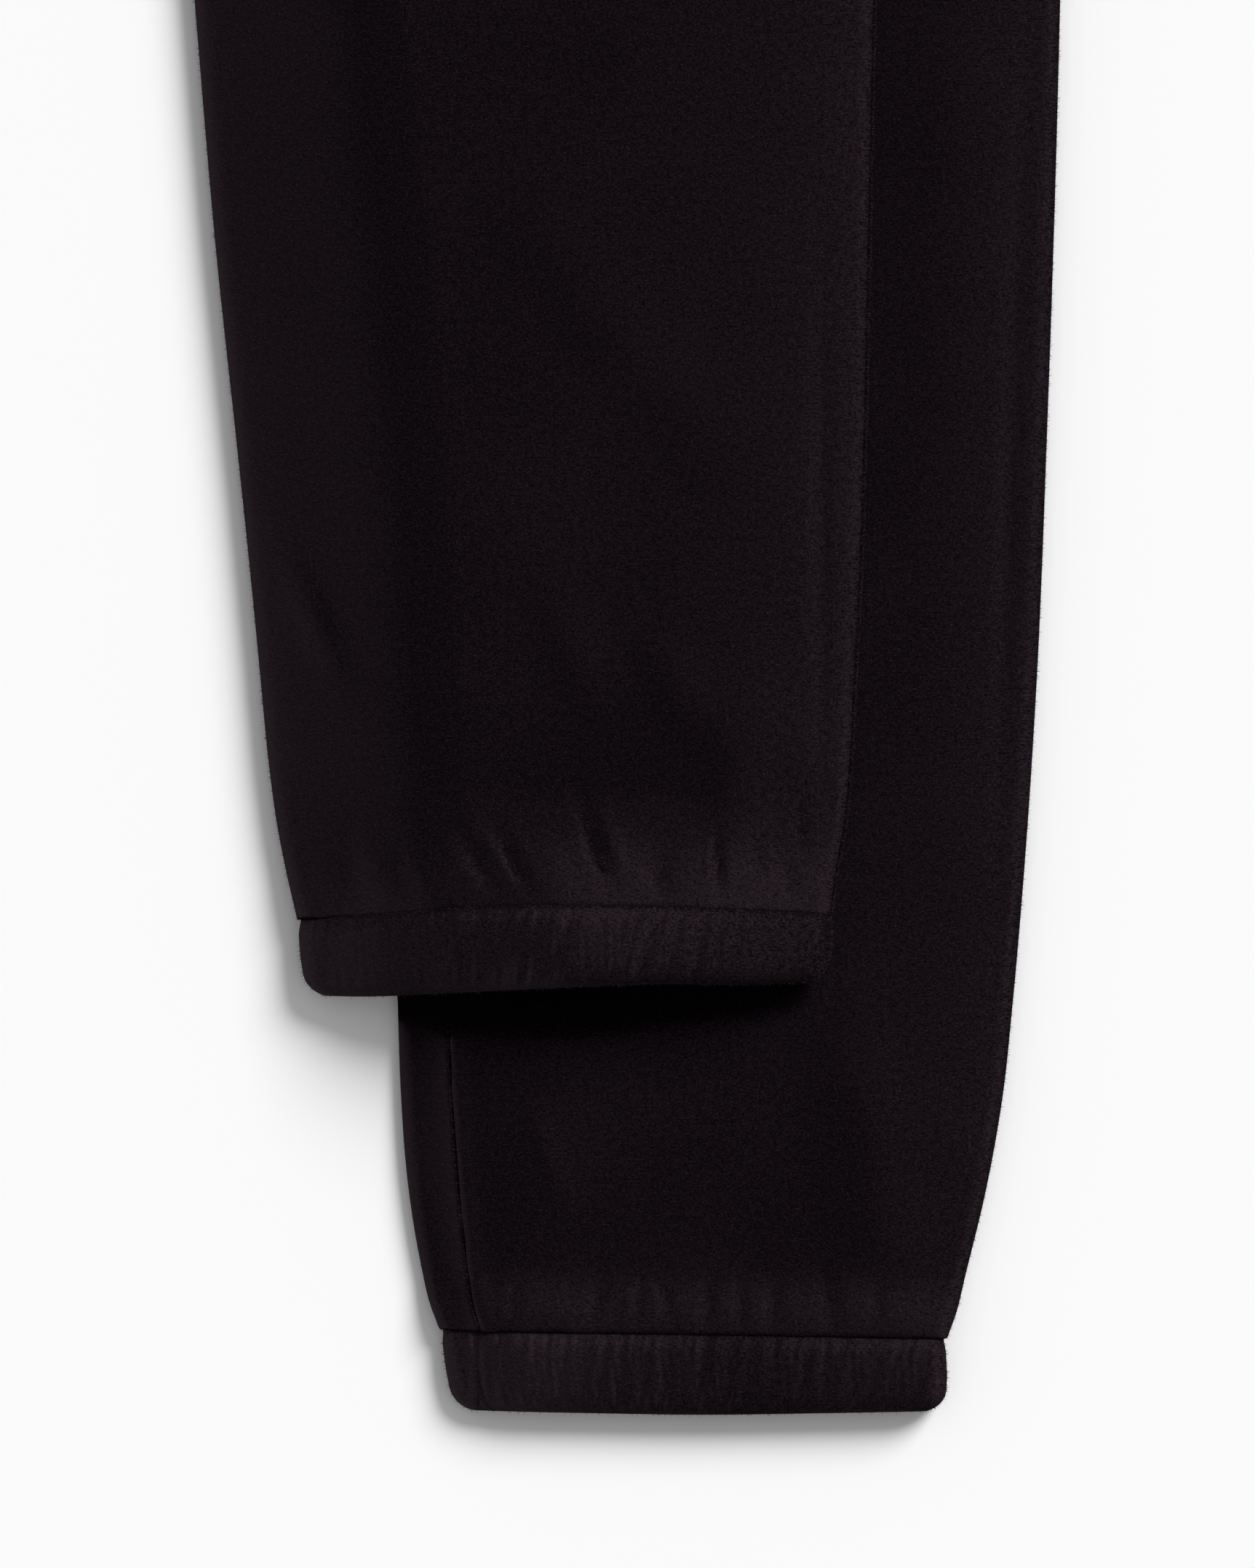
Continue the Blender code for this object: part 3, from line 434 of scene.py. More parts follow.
def soft_folds(x, y, where):
    """Long low mounds, each a bell along its length and across it."""
    height = np.zeros_like(x)
    for place, fold_x, fold_y, length, width, angle, rise in SOFT_FOLDS:
        if place != where:
            continue
        along_x, along_y = np.cos(np.radians(angle)), np.sin(np.radians(angle))
        dx, dy = x - fold_x * MM, y - fold_y * MM
        along = (dx * along_x + dy * along_y) / (length * MM)
        across = (dx * along_y - dy * along_x) / (width * MM)
        height = height + rise * MM * np.exp(-along**2 - across**2)
    return height


def in_crease(x, y, crease, widened=1.0):
    """Distances along and across a crease, in its half lengths and half widths."""
    x0, y0, lean, length, width, _ = crease
    along = (y - y0 * MM) / (length * MM)
    return along, (x - x0 * MM - lean * (y - y0 * MM)) / (widened * width * MM)


def creases(x, y, half):
    """Troughs the elastic draws into the leg, a small ridge on each side of each trough,
    and the puffs between them."""
    height = np.zeros_like(x)
    for crease in CREASES[half]:
        along, across = in_crease(x, y, crease)
        shape = 0.4 * np.exp(-(np.abs(across) - 2.0) ** 2) - np.exp(-across**2)
        height = height + CREASE_DEPTH[half] * crease[-1] * MM * shape * np.exp(-along**2)
    for x0, y0, width, length, rise in PUFFS[half]:
        bell = np.exp(-((x / MM - x0) / width) ** 2 - ((y / MM - y0) / length) ** 2)
        height = height + CREASE_DEPTH[half] * rise * MM * bell
    return height


def troughs(x, y, half):
    """Painted shade: 1 at the bottom of the deepest creases."""
    shade = np.zeros_like(x)
    for crease in CREASES[half]:
        along, across = in_crease(x, y, crease, 0.8)
        shade = shade + crease[-1] * np.exp(-across**2 - along**2)
    return shade


def uneven(at):
    """Strength of a seam's shadow along the seam, from 0.6 to 1."""
    return 0.8 + 0.2 * np.sin(at / (3.1 * MM) + 2 * np.sin(at / (8.3 * MM)))


def cuff_painted_light(share, half):
    """Painted light and shade across a cuff where it bulges, by share of the width."""
    return np.interp(share, *zip(*CUFF_PAINTED_LIGHT[half]))


def swell(up, half):
    """Rise of the leg's upper ply towards its cuff."""
    return SWELL[half] * MM * smooth(1 - (up - CUFF_DEPTH) / (SWELL_REACH[half] * MM))


def hem_lift(share, up):
    """Lift of the upper leg's end off the leg below, fading up the leg."""
    return by_share(HEM_LIFT, 1, share) * smooth(1 - up / (HEM_LIFT_REACH * MM))


def painted_hem_shadow(x, y):
    """Painted shadow: 1 on the lower leg right under the upper hem, fading out in front of it."""
    left, right = edges("upper", 0.0)
    share = (x - left) / (right - left)
    reach = np.interp(share, *zip(*HEM_SHADE)) * MM
    return (smooth(1 + (y - HEM_RISE + reach) / HEM_SHADE_SOFT)
            * smooth((1 - share) / HEM_SHADE_END))


def hem_slant(share, up, half):
    """Slant of the hem line along Y, fading up the leg."""
    at_hem, at_seam = (by_share(HEM_SLANT[half], k, share) for k in (1, 2))
    along = np.clip(up / CUFF_DEPTH, 0.0, 1.0)
    fade = 1 - smooth((up - CUFF_DEPTH) / SLANT_FADE)
    return (at_hem * (1 - along) + at_seam * along) * fade


def inseam_ridge(x, up):
    """Ridge over the seam allowance beside the lower leg's inseam, where it shows."""
    offset, height, width = INSEAM_RIDGE
    seam = edges("lower", up)[0] + column(INSEAM_INSET, 1, up) + offset * MM
    shown = 1 - smooth((up - RIDGE_TO * MM) / (RIDGE_FADE * MM))
    across = (x - seam) / (width * MM)
    return height * MM * np.exp(-across**2) * shown


def lay(x, v, up, half):
    """Take flat points at distances up the leg to their place on the surface."""
    left, right = edges(half, up)
    share = np.clip((x - left) / (right - left), 0.0, 1.0)
    if half == "lower":
        y = up + 0 * x
        ply = np.clip(v / PLY, 0.0, 1.0)
        z = CLOTH / 2 + v + ply * (soft_folds(x, y, "stack") + lower_dome(x, y))
        z = z + ply * inseam_ridge(x, up)
        z = z * (1 - pressed(x, left, LEFT_PRESSED))
    else:
        path_y, path_z, heading = upper_path(up)
        height = PLY / 2 - v
        y = path_y - height * np.sin(heading)
        ply = np.clip(1 - v / PLY, 0.0, 1.0)
        z = CLOTH / 2 + 2 * FOLD - PLY / 2 + path_z + height * np.cos(heading)
        z = z + drop(x, y) + soft_folds(x, y, "stack") + under_upper(x, y)
        z = z + hem_lift(share, up) + ply * upper_dome(share, up)
    z = z + ply * (soft_folds(x, y, half) + swell(up, half) + creases(x, y, half))
    return x, y + hem_slant(share, up, half), z


# ---- meshes ----------------------------------------------------------------------------
def to_row(points):
    """From the tables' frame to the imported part's frame, whose origin is its middle."""
    waist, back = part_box("waistband"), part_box("back_left")
    shift = np.array([waist[1][0] - WAIST_HALF, back[1][1] - WAIST_SEAM_UP, 0.0])
    return points + shift


def new_object(name, points, faces, material):
    """A linked mesh from arrays of points and of faces that all have as many corners."""
    mesh = bpy.data.meshes.new(name)
    mesh.vertices.add(len(points))
    mesh.vertices.foreach_set("co", to_row(points).astype(np.float32).ravel())
    mesh.loops.add(faces.size)
    mesh.loops.foreach_set("vertex_index", faces.astype(np.int32).ravel())
    mesh.polygons.add(len(faces))
    starts = np.arange(0, faces.size, faces.shape[1], dtype=np.int32)
    mesh.polygons.foreach_set("loop_start", starts)
    mesh.update(calc_edges=True)
    mesh.materials.append(material)
    piece = bpy.data.objects.new(name, mesh)
    bpy.context.collection.objects.link(piece)
    return piece


def grid_faces(rows, count, closed_rows):
    """Quads between neighbours on a grid whose columns close on themselves. Its rows close
    too, or the first and the last get caps."""
    index = np.arange(rows * count).reshape(rows, count)
    around = np.concatenate([index, index[:, :1]], 1)
    if closed_rows:
        around = np.concatenate([around, around[:1]])
    corners = [around[:-1, :-1], around[:-1, 1:], around[1:, 1:], around[1:, :-1]]
    faces = np.stack(corners, -1).reshape(-1, 4)
    if not closed_rows:
        k = np.arange(count // 2 - 1)
        for ring, order in ((index[0], 1), (index[-1], -1)):
            cap = np.stack([ring[k], ring[count - 1 - k], ring[count - 2 - k], ring[k + 1]], -1)
            faces = np.concatenate([faces, cap[:, ::order]])
    return faces


def grid_object(name, grid, uv, seam, closed_rows, material):
    """A closed smooth mesh, facing out, from a grid of points (rows, columns, 3). The
    material reads uv, in metres along the cloth, and the seam attribute, which holds
    painted shade and painted light."""
    points = grid.reshape(-1, 3)
    faces = grid_faces(*grid.shape[:2], closed_rows)
    a, b, c, d = (points[faces[:, k]] for k in range(4))
    volume = np.einsum("ij,ij->", a, np.cross(b, c)) + np.einsum("ij,ij->", a, np.cross(c, d))
    if volume < 0:
        faces = faces[:, ::-1]
    piece = new_object(name, points, faces, material)
    mesh = piece.data
    layer = mesh.uv_layers.new(name="cloth")
    layer.uv.foreach_set("vector", uv.reshape(-1, 2)[faces.ravel()].astype(np.float32).ravel())
    # layer for the seam attribute: painted shade and painted light
    closed = mesh.attributes.new("seam", "FLOAT", "POINT")
    closed.data.foreach_set("value", (seam + 0 * grid[..., 0]).astype(np.float32).ravel())
    mesh.polygons.foreach_set("use_smooth", np.ones(len(faces), bool))
    mesh.validate()
    return piece


def stations(half):
    """Distances up the leg of a panel's rows: close at the cuff and where the cloth shows
    from above, wider in the thigh and seat, close again round each bend and the crotch."""
    seam, waist = CUFF_DEPTH - ALLOWANCE, WAIST_SEAM_UP
    spans = [(seam, seam + 4 * MM, 9), (seam + 4 * MM, 70 * MM, 38), (70 * MM, 290 * MM, 90)]
    if half == "upper":
        first, second, third, fourth = tuck_knots()
        spans += [(290 * MM, first, 50), (first, second, 13), (second, third, 12),
                  (third, fourth, 13), (fourth, CROTCH_UP - 20 * MM, 30)]
    else:
        spans += [(290 * MM, 400 * MM, 36), (400 * MM, CROTCH_UP - 20 * MM, 60)]
    spans += [(CROTCH_UP - 20 * MM, CROTCH_UP + 20 * MM, 26),
              (CROTCH_UP + 20 * MM, waist - 4 * MM, 60), (waist - 4 * MM, waist, 8)]
    return np.concatenate([np.linspace(start, end, count)[:-1] for start, end, count in spans]
                          + [[waist]])[:, None]


def panel_shade(x, y, up, left, from_edge, half):
    """The seam attribute on a leg panel's faces: painted shade in the troughs and at the cut
    edges, where the pile also closes, and painted light above the cuff; on the lower leg also a
    painted shadow under the upper hem and a painted highlight beside the inseam."""
    seam = CREASE_SHADE * troughs(x, y, half)
    seam = seam - PAINTED_LIGHT_ABOVE_CUFF * smooth(1 - (up - CUFF_DEPTH) / (PAINTED_LIGHT_REACH * MM))
    line = SEAM_LINE["panel"] * uneven(x + y) * np.exp(-(from_edge / SEAM_SHADE) ** 2)
    seam = np.maximum(seam, line - PAINTED_LIGHT_ABOVE_CUFF)
    if half == "lower":
        offset, width, amount = INSEAM_HIGHLIGHT
        beside = x - left - column(INSEAM_INSET, 1, up) - offset * MM
        seam = seam - amount * np.exp(-(beside / (width * MM)) ** 2)
        seam = np.maximum(seam, (1 + PAINTED_LIGHT_ABOVE_CUFF) * painted_hem_shadow(x, y) - PAINTED_LIGHT_ABOVE_CUFF)
    return seam


def leg_panel(name, half, ply, counts, material):
    """A panel from cuff seam to waist seam, and the grid of its outer face. Its wall is
    CLOTH thick and thins towards every cut edge on a parabola."""
    up = stations(half)
    left, right = edges(half, up)
    x, v, nx, nv, along = ply(left, right, up, counts)
    from_edge = np.minimum(along, along[:, -1:] - along)
    from_edge = np.minimum(from_edge, np.minimum(up - up[0], up[-1] - up))
    full = 1 - (1 - np.clip(from_edge / THIN_RUN, 0.0, 1.0)) ** 2
    thick = CLOTH / 2 * (EDGE_SHARE + (1 - EDGE_SHARE) * full)
    outer = np.stack(lay(x + nx * thick, v + nv * thick, up, half), -1)
    inner = np.stack(lay(x - nx * thick, v - nv * thick, up, half), -1)
    uv = np.stack([along, up + 0 * along], -1)
    seam = panel_shade(outer[..., 0], outer[..., 1], up, left, from_edge, half)
    grid, uv, seam = (np.concatenate([a, b[:, ::-1]], 1)
                      for a, b in ((outer, inner), (uv, uv), (seam, seam)))
    return grid_object(name, grid, uv, seam, False, material), outer


def casing_wall(depth, wall, count):
    """Cross-section of a casing's wall: a long oval with square shoulders, as depth from
    the hem and offset from the wall's middle. Each is a power of a circle's coordinate."""
    angle = np.linspace(0, 2 * np.pi, count, endpoint=False)
    cos, sin = np.cos(angle), np.sin(angle)
    along = depth / 2 * (1 + np.sign(cos) * np.abs(cos) ** 0.4)
    thinned = 0.5 + 0.5 * smooth((depth - along) / (5 * MM))
    return along, wall / 2 * np.sign(sin) * np.abs(sin) ** 0.5 * thinned


def round_wall(depth, offset):
    """Distance run round a casing's wall at each of its points."""
    steps = np.hypot(np.diff(depth[:, 0]), np.diff(offset[:, 0]))
    return np.concatenate([[0.0], np.cumsum(steps)])[:, None]


def flat_ring(left, right, wall, ply, counts):
    """Middle line of a flattened cuff ring: bottom run, right turn, top run, left turn."""
    radius = ply / 2
    first, last = left + wall / 2 + radius, right - wall / 2 - radius
    bottom = np.linspace(first, last, counts[0])[:-1]
    turn = np.linspace(0, np.pi, counts[1])[:-1]
    top = np.linspace(last, first, counts[2])[:-1]
    x = np.concatenate([bottom, last + radius * np.sin(turn), top, first - radius * np.sin(turn)])
    v = np.concatenate([0 * bottom, radius * (1 - np.cos(turn)), 0 * top + ply,
                        radius * (1 + np.cos(turn))])
    nx = np.concatenate([0 * bottom, np.sin(turn), 0 * top, -np.sin(turn)])
    nv = np.concatenate([0 * bottom - 1, -np.cos(turn), 0 * top + 1, np.cos(turn)])
    return x, v, nx, nv


def gathers_on_cuff(x, depth, half):
    """Leaning troughs on a cuff's upper face, uneven in place, depth and width."""
    height = np.zeros_like(x)
    body = np.clip(np.minimum(depth / 3.5, (CUFF_DEPTH - depth) / 1.5) / MM, 0.0, 1.0)
    for x0, lean, width, deep in CUFF_GATHERS[half]:
        across = (x - x0 * MM - lean * (depth - CUFF_DEPTH / 2)) / (1.25 * width * MM)
        shape = 0.5 * np.exp(-(np.abs(across) - 1.7) ** 2) - np.exp(-across**2)
        height = height + GATHER_DEPTH * deep * MM * shape * smooth(body)
    for length, lean, rise, phase in CRINKLES:
        turn = 2 * np.pi * (x - lean * depth) / (length * MM)
        swing = np.sin(turn + phase + 1.5 * np.sin(turn / 5.3 + 2 * phase))
        height = height + rise * MM * swing * smooth(body)
    if half == "lower":
        across = (x - CUFF_SEAM_X) / (0.8 * MM)
        height = height + MM * (0.1 * np.exp(-(across + 1.9) ** 2) - 0.2 * np.exp(-across**2))
    return height


def to_leg_edges(x, depth, half, left, right):
    """Carry a straight ring's x out to the leg's edges, less the rounding of the corners at
    the hem. Also gives the share of the width and the left edge."""
    bow = np.clip(1 - depth / CUFF_CORNER, 0.0, 1.0)
    round_in = CUFF_CORNER * (1 - np.sqrt(1 - (0.94 * bow) ** 2))
    real_left, real_right = edges(half, depth)
    middle = (left + right) / 2
    shift = (real_left + real_right) / 2 - middle
    scale = ((real_right - real_left) / 2 - round_in) / ((right - left) / 2)
    x = middle + (x - middle) * scale + shift
    return x, np.clip((x - real_left) / (real_right - real_left), 0.0, 1.0), real_left


def cuff_shade(x, y, depth, share, on_top, half):
    """The seam attribute on a cuff: painted shade at the seam to the leg, painted light and
    shade across its width where it bulges, and along the lower cuff's own seam a line of
    painted shade with a painted highlight beside it."""
    seam = SEAM_LINE["hem"] * uneven(x) * np.exp(-((CUFF_DEPTH - depth) / SEAM_SHADE) ** 2)
    seam = seam - cuff_painted_light(share, half)
    if half == "lower":
        line = SEAM_LINE["cuff"] * uneven(y) * np.exp(-((x - CUFF_SEAM_X) / (0.6 * MM)) ** 2)
        seam = seam + line * on_top - 0.5 * np.exp(-((x - CUFF_SEAM_X) / MM + 1.8) ** 2)
    return seam


def cuff(name, half, material):
    """Elastic casing at a hem, and the grid of its outer face. Its upper wall stands off
    the lower one by CUFF_MOUTH."""
    depth, offset = (part[:, None] for part in casing_wall(CUFF_DEPTH, CUFF_WALL, 44))
    left, right = (float(edge) for edge in edges(half, CUFF_SIZED_AT))
    x, v, nx, nv = flat_ring(left, right, CUFF_WALL, CUFF_PLY, (60, 16, 260))
    along = np.concatenate([[0.0], np.cumsum(np.hypot(np.diff(x), np.diff(v)))])
    x, v, nx, nv = (part[None, :] + 0 * depth for part in (x, v, nx, nv))
    on_top = smooth(v / CUFF_PLY * 2 - 1)
    mouth = column(tuple((share * 100, gap * 100) for share, gap in CUFF_MOUTH), 1,
                   depth / CUFF_DEPTH * 100 * MM) / (100 * MM)
    spread = v * mouth
    raised = gathers_on_cuff(x, depth, half) * on_top * (offset > 0)
    out = offset + raised * np.clip(offset / (CUFF_WALL / 2) * 1.6, 0.0, 1.0)
    x, spread = x + nx * out, spread + nv * out
    x, share, real_left = to_leg_edges(x, depth, half, left, right)
    height = np.maximum(1.02 * CUFF_WALL / 2 + spread, 0.0)
    height = height * (1 - pressed(x, real_left, CUFF_PRESSED[half]))
    y = depth + 0 * x
    ply = np.clip(v / CUFF_PLY, 0.0, 1.0)
    if half == "upper":
        y = y + HEM_RISE
        height = height + DROP + drop(x, y) + soft_folds(x, y, "stack") + under_upper(x, y)
        height = height + hem_lift(share, depth) + ply * upper_dome(share, depth)
    else:
        height = height + ply * (soft_folds(x, y, "stack") + lower_dome(x, y))
    grid = np.stack([x, y + hem_slant(share, depth, half), height], -1)
    uv = np.stack([along[None, :] + 0 * x, round_wall(depth, offset) + 0 * x], -1)
    seam = cuff_shade(x, y, depth, share, on_top, half)
    return grid_object(name, grid, uv, seam, True, material), grid[:len(grid) // 2 + 1]


def folded_ring(left, right_low, right_high, counts):
    """Middle line of the folded waistband ring. Bottom run, outer turn at the centre back,
    top run, upper outseam turn, inner run, inner turn at the centre front, inner run back,
    lower outseam turn."""
    rim, inner = WAIST_PLY / 2, WAIST_WALL / 2 + SEAM_GAP / 2
    plane = WAIST_PLY + inner
    centre = left + WAIST_WALL / 2 + plane
    low_end, high_end = (end - WAIST_WALL / 2 - rim for end in (right_low, right_high))
    turn = np.linspace(0, np.pi, counts[1])[:-1]
    run, top_run = np.linspace(0, 1, counts[0])[:-1], np.linspace(0, 1, counts[2])[:-1]
    sin, cos = np.sin(turn), np.cos(turn)
    pieces = [
        (low_end + (centre - low_end) * run, 0 * run, 0 * run, 0 * run - 1),
        (centre - plane * sin, plane * (1 - cos), -sin, -cos),
        (centre + (high_end - centre) * top_run, 0 * top_run + 2 * plane, 0 * top_run,
         0 * top_run + 1),
        (high_end + rim * sin, 2 * plane - rim * (1 - cos), sin, cos),
        (high_end + (centre - high_end) * run, 0 * run + 2 * plane - WAIST_PLY, 0 * run,
         0 * run - 1),
        (centre - inner * sin, plane + inner * cos, sin, -cos),
        (centre + (low_end - centre) * run, 0 * run + WAIST_PLY, 0 * run, 0 * run + 1),
        (low_end + rim * sin, WAIST_PLY - rim * (1 - cos), sin, cos),
    ]
    return (np.concatenate(parts) for parts in zip(*pieces))


def waistband(name, material):
    """Elastic casing at the waist, folded with the garment, gathered on its top face."""
    depth, offset = (part[:, None] for part in casing_wall(WAISTBAND_DEPTH, WAIST_WALL, 40))
    left, right_low = (float(edge) for edge in edges("lower", WAIST_SEAM_UP))
    right_high = float(edges("upper", WAIST_SEAM_UP)[1])
    x, v, nx, nv = folded_ring(left, right_low, right_high, (50, 16, 300))
    along = np.concatenate([[0.0], np.cumsum(np.hypot(np.diff(x), np.diff(v)))])
    top = v.max()
    on_top = smooth((v - top + WAIST_PLY / 2) / (WAIST_PLY / 2))[None, :]
    share = (x[None, :] - left) / (right_high - left)
    phase = 2 * np.pi * WAIST_GATHERS * (share + 0.012 * np.sin(9 * share) + 0.1 * depth)
    body = np.sin(np.pi * np.clip(depth / WAISTBAND_DEPTH, 0.02, 0.98)) ** 0.6
    wave = (np.cos(phase) + 0.4 * np.cos(0.53 * phase + 1.0)) * body * on_top * (offset > 0)
    out = offset + WAIST_GATHER_HEIGHT * wave * np.clip(offset / (WAIST_WALL / 2) * 1.6, 0.0, 1.0)
    grid_x, grid_v = x[None, :] + nx[None, :] * out, v[None, :] + nv[None, :] * out
    height = np.maximum(WAIST_WALL / 2 + grid_v, 0.0)
    height = height - np.minimum(height, top / 2) * pressed(grid_x, left, LEFT_PRESSED)
    y = WAIST_SEAM_UP + SEAM_GAP + WAISTBAND_DEPTH - depth + 0 * grid_x
    lift = np.clip(grid_v / WAIST_PLY, 0.0, 1.0) * lower_dome(grid_x, 0 * y + WAIST_SEAM_UP)
    over = np.clip((grid_v - top + WAIST_PLY) / WAIST_PLY, 0.0, 1.0)
    lift = lift + over * upper_dome(share, WAIST_SEAM_UP)
    uv = np.stack([along[None, :] + 0 * y, round_wall(depth, offset) + 0 * y], -1)
    # painted shade along the waist seam, where the pile also closes
    seam = np.exp(-((WAISTBAND_DEPTH - depth) / SEAM_SHADE) ** 2)
    grid = np.stack([grid_x, y, height + lift], -1)
    return grid_object(name, grid, uv, seam, True, material)


def steep_spots(surfaces, random):
    """Random points on the steep part of the cloth's outer faces, and the normals there."""
    roots, normals = [], []
    for grid in surfaces:
        corner, right, up = grid[:-1, :-1], grid[:-1, 1:], grid[1:, :-1]
        normal = np.cross(right - corner, up - corner)
        area = np.linalg.norm(normal, axis=-1)
        normal = normal / np.maximum(area, 1e-12)[..., None]
        weight = (area * smooth((PILE_STEEP - np.abs(normal[..., 2])) / 0.2)).ravel()
        count = int(PILE_DENSITY * weight.sum() / MM**2)
        faces = random.choice(weight.size, count, p=weight / weight.sum())
        a, b = random.random((2, count, 1))
        corner, right, up, normal = (part.reshape(-1, 3)[faces]
                                     for part in (corner, right, up, normal))
        roots.append(corner + a * (right - corner) + b * (up - corner))
        normals.append(normal)
    return np.concatenate(roots), np.concatenate(normals)


def unit(vectors):
    """The same directions with length 1."""
    return vectors / np.linalg.norm(vectors, axis=1)[:, None]


def loose_pile(name, surfaces, material):
    """Fibre tips that stand out from every steep part of the cloth's outer faces. Each is a
    closed sliver: a triangle set in the cloth and an apex out along the jittered normal."""
    random = np.random.default_rng(PILE_SEED)
    root, normal = steep_spots(surfaces, random)
    count = len(root)
    out = unit(normal + random.normal(0.0, PILE_JITTER, (count, 3)))
    side = unit(np.cross(out, random.normal(size=(count, 3))))
    third = np.cross(out, side)
    low, high = PILE_LENGTH
    length = (low + (high - low) * random.random((count, 1)) ** 2) * MM
    wide = PILE_WIDTH / 2 * MM
    base = [root - PILE_ROOT * MM * normal + wide * (np.cos(angle) * side + np.sin(angle) * third)
            for angle in np.radians([0, 120, 240])]
    points = np.stack([*base, root + out * length], 1)
    points[..., 2] = np.maximum(points[..., 2], PILE_ABOVE_BOARD * MM)
    corners = np.array([(0, 2, 1), (0, 1, 3), (1, 2, 3), (2, 0, 3)])
    faces = (4 * np.arange(count)[:, None, None] + corners).reshape(-1, 3)
    return new_object(name, points.reshape(-1, 3), faces, material)


# ---- materials -------------------------------------------------------------------------
def linear(hex_colour):
    """An sRGB hex colour as linear RGBA."""
    parts = [int(hex_colour[k:k + 2], 16) / 255 for k in (1, 3, 5)]
    return [c / 12.92 if c <= 0.04045 else ((c + 0.055) / 1.055) ** 2.4 for c in parts] + [1.0]


def add(tree, kind, settings=None, values=None, links=None):
    """Add one node with its settings, its socket values and the links into it."""
    made = tree.nodes.new(kind)
    for key, value in (settings or {}).items():
        setattr(made, key, value)
    for key, value in (values or {}).items():
        made.inputs[key].default_value = value
    for key, socket in (links or {}).items():
        tree.links.new(socket, made.inputs[key])
    return made


def remap(tree, value, start, end):
    """A value carried from one range to another and held at its ends."""
    ranges = dict(zip(("From Min", "From Max", "To Min", "To Max"), (*start, *end)))
    return add(tree, "ShaderNodeMapRange", values=ranges, links={"Value": value}).outputs[0]


def combine(tree, first, factor, last):
    """first x factor + last, each of them a number or a socket."""
    parts = {0: first, 1: factor, 2: last}
    numbers = {key: part for key, part in parts.items() if isinstance(part, (int, float))}
    sockets = {key: part for key, part in parts.items() if key not in numbers}
    return add(tree, "ShaderNodeMath", {"operation": "MULTIPLY_ADD"}, numbers,
               sockets).outputs[0]


def noise(tree, place, size, detail, roughness=0.5):
    """Noise whose cells have a real size on the cloth."""
    return add(tree, "ShaderNodeTexNoise",
               values={"Scale": 1 / size, "Detail": detail, "Roughness": roughness},
               links={"Vector": place}).outputs["Fac"]


def pile_pattern(tree):
    """How high the pile stands, from short flecks that lie across the leg, tufts and broad
    patches, and how bright the single tips in it are."""
    cloth = add(tree, "ShaderNodeUVMap", {"uv_map": "cloth"}).outputs["UV"]
    wide, tall = FLECK
    stretched = add(tree, "ShaderNodeMapping", values={"Scale": (1 / wide, 1 / tall, 1.0)},
                    links={"Vector": cloth}).outputs[0]
    pile = combine(tree, noise(tree, cloth, PATCH, 2.0), PATCH_SHARE,
                   noise(tree, stretched, 1.0, 3.0, 0.75))
    pile = combine(tree, noise(tree, cloth, TUFT, 2.0), TUFT_SHARE, pile)
    return pile, remap(tree, noise(tree, cloth, BRIGHT_TIP, 2.0, 0.7), (0.56, 0.8), (0.0, 0.35))


def pile_light(tree, seam):
    """Painted light on a slope that faces the window; and that painted light together with a
    painted pale sheen on edges that turn away from it, where no seam is near, less a little
    on the steepest slopes that face it."""
    normal = add(tree, "ShaderNodeNewGeometry").outputs["Normal"]
    facing = add(tree, "ShaderNodeVectorMath", {"operation": "DOT_PRODUCT"}, {1: PAINTED_LIGHT_FROM},
                 {0: normal}).outputs["Value"]
    window = remap(tree, facing, *WINDOW_LIGHT)
    lit = combine(tree, remap(tree, facing, *PAINTED_RIM_SHEEN), 1.0, window)
    away = remap(tree, seam, *AWAY_FROM_SEAM)
    return window, combine(tree, lit, away, remap(tree, facing, *STEEP_SHADE))


def brushed_fleece(name, paler):
    """Black brushed polyester fleece: a dull pile that lies across the leg in short flecks
    with a few bright tips. Painted light makes it a shade lighter where it faces the window
    and puts a painted pale sheen round the edges that turn away from it; the seam attribute
    adds painted shade and painted light. It is paler where elastic stretches the pile. The
    flecks stand out more under the painted light and where the pile is stretched."""
    material = bpy.data.materials.new(name)
    material.use_nodes = True
    tree = material.node_tree
    tree.nodes.clear()
    pile, tips = pile_pattern(tree)
    # the seam attribute: painted shade at seams, in creases and under the upper hem, painted
    # light where below 0
    seam = add(tree, "ShaderNodeAttribute", {"attribute_name": "seam"}).outputs["Fac"]
    window, light = pile_light(tree, seam)
    grain = combine(tree, window, LIT_GRAIN, GRAIN + OPEN_GRAIN * paler)
    shade = combine(tree, combine(tree, pile, 1.0, -PILE_MEAN), grain, light)
    shade = combine(tree, shade, 1.0, tips)
    shade = combine(tree, shade, 1.0, FLAT_SHADE + paler)
    shade = combine(tree, seam, SEAM_WEIGHT, shade)
    colour = add(tree, "ShaderNodeMix", {"data_type": "RGBA"},
                 {"A": linear(CLOSED_PILE), "B": linear(FIBRE)}, {"Factor": shade})
    bump = add(tree, "ShaderNodeBump", values={"Strength": 0.6, "Distance": 0.5 * MM},
               links={"Height": pile})
    shader = add(tree, "ShaderNodeBsdfPrincipled",
                 values={"Roughness": 0.95, "Specular IOR Level": 0.0},
                 links={"Base Color": colour.outputs["Result"], "Normal": bump.outputs[0]})
    add(tree, "ShaderNodeOutputMaterial", links={"Surface": shader.outputs[0]})
    return material


def matt(name, hex_colour, specular):
    """A plain matt material."""
    material = bpy.data.materials.new(name)
    material.use_nodes = True
    shader = material.node_tree.nodes["Principled BSDF"]
    shader.inputs["Base Color"].default_value = linear(hex_colour)
    shader.inputs["Roughness"].default_value = 0.9
    shader.inputs["Specular IOR Level"].default_value = specular
    return material


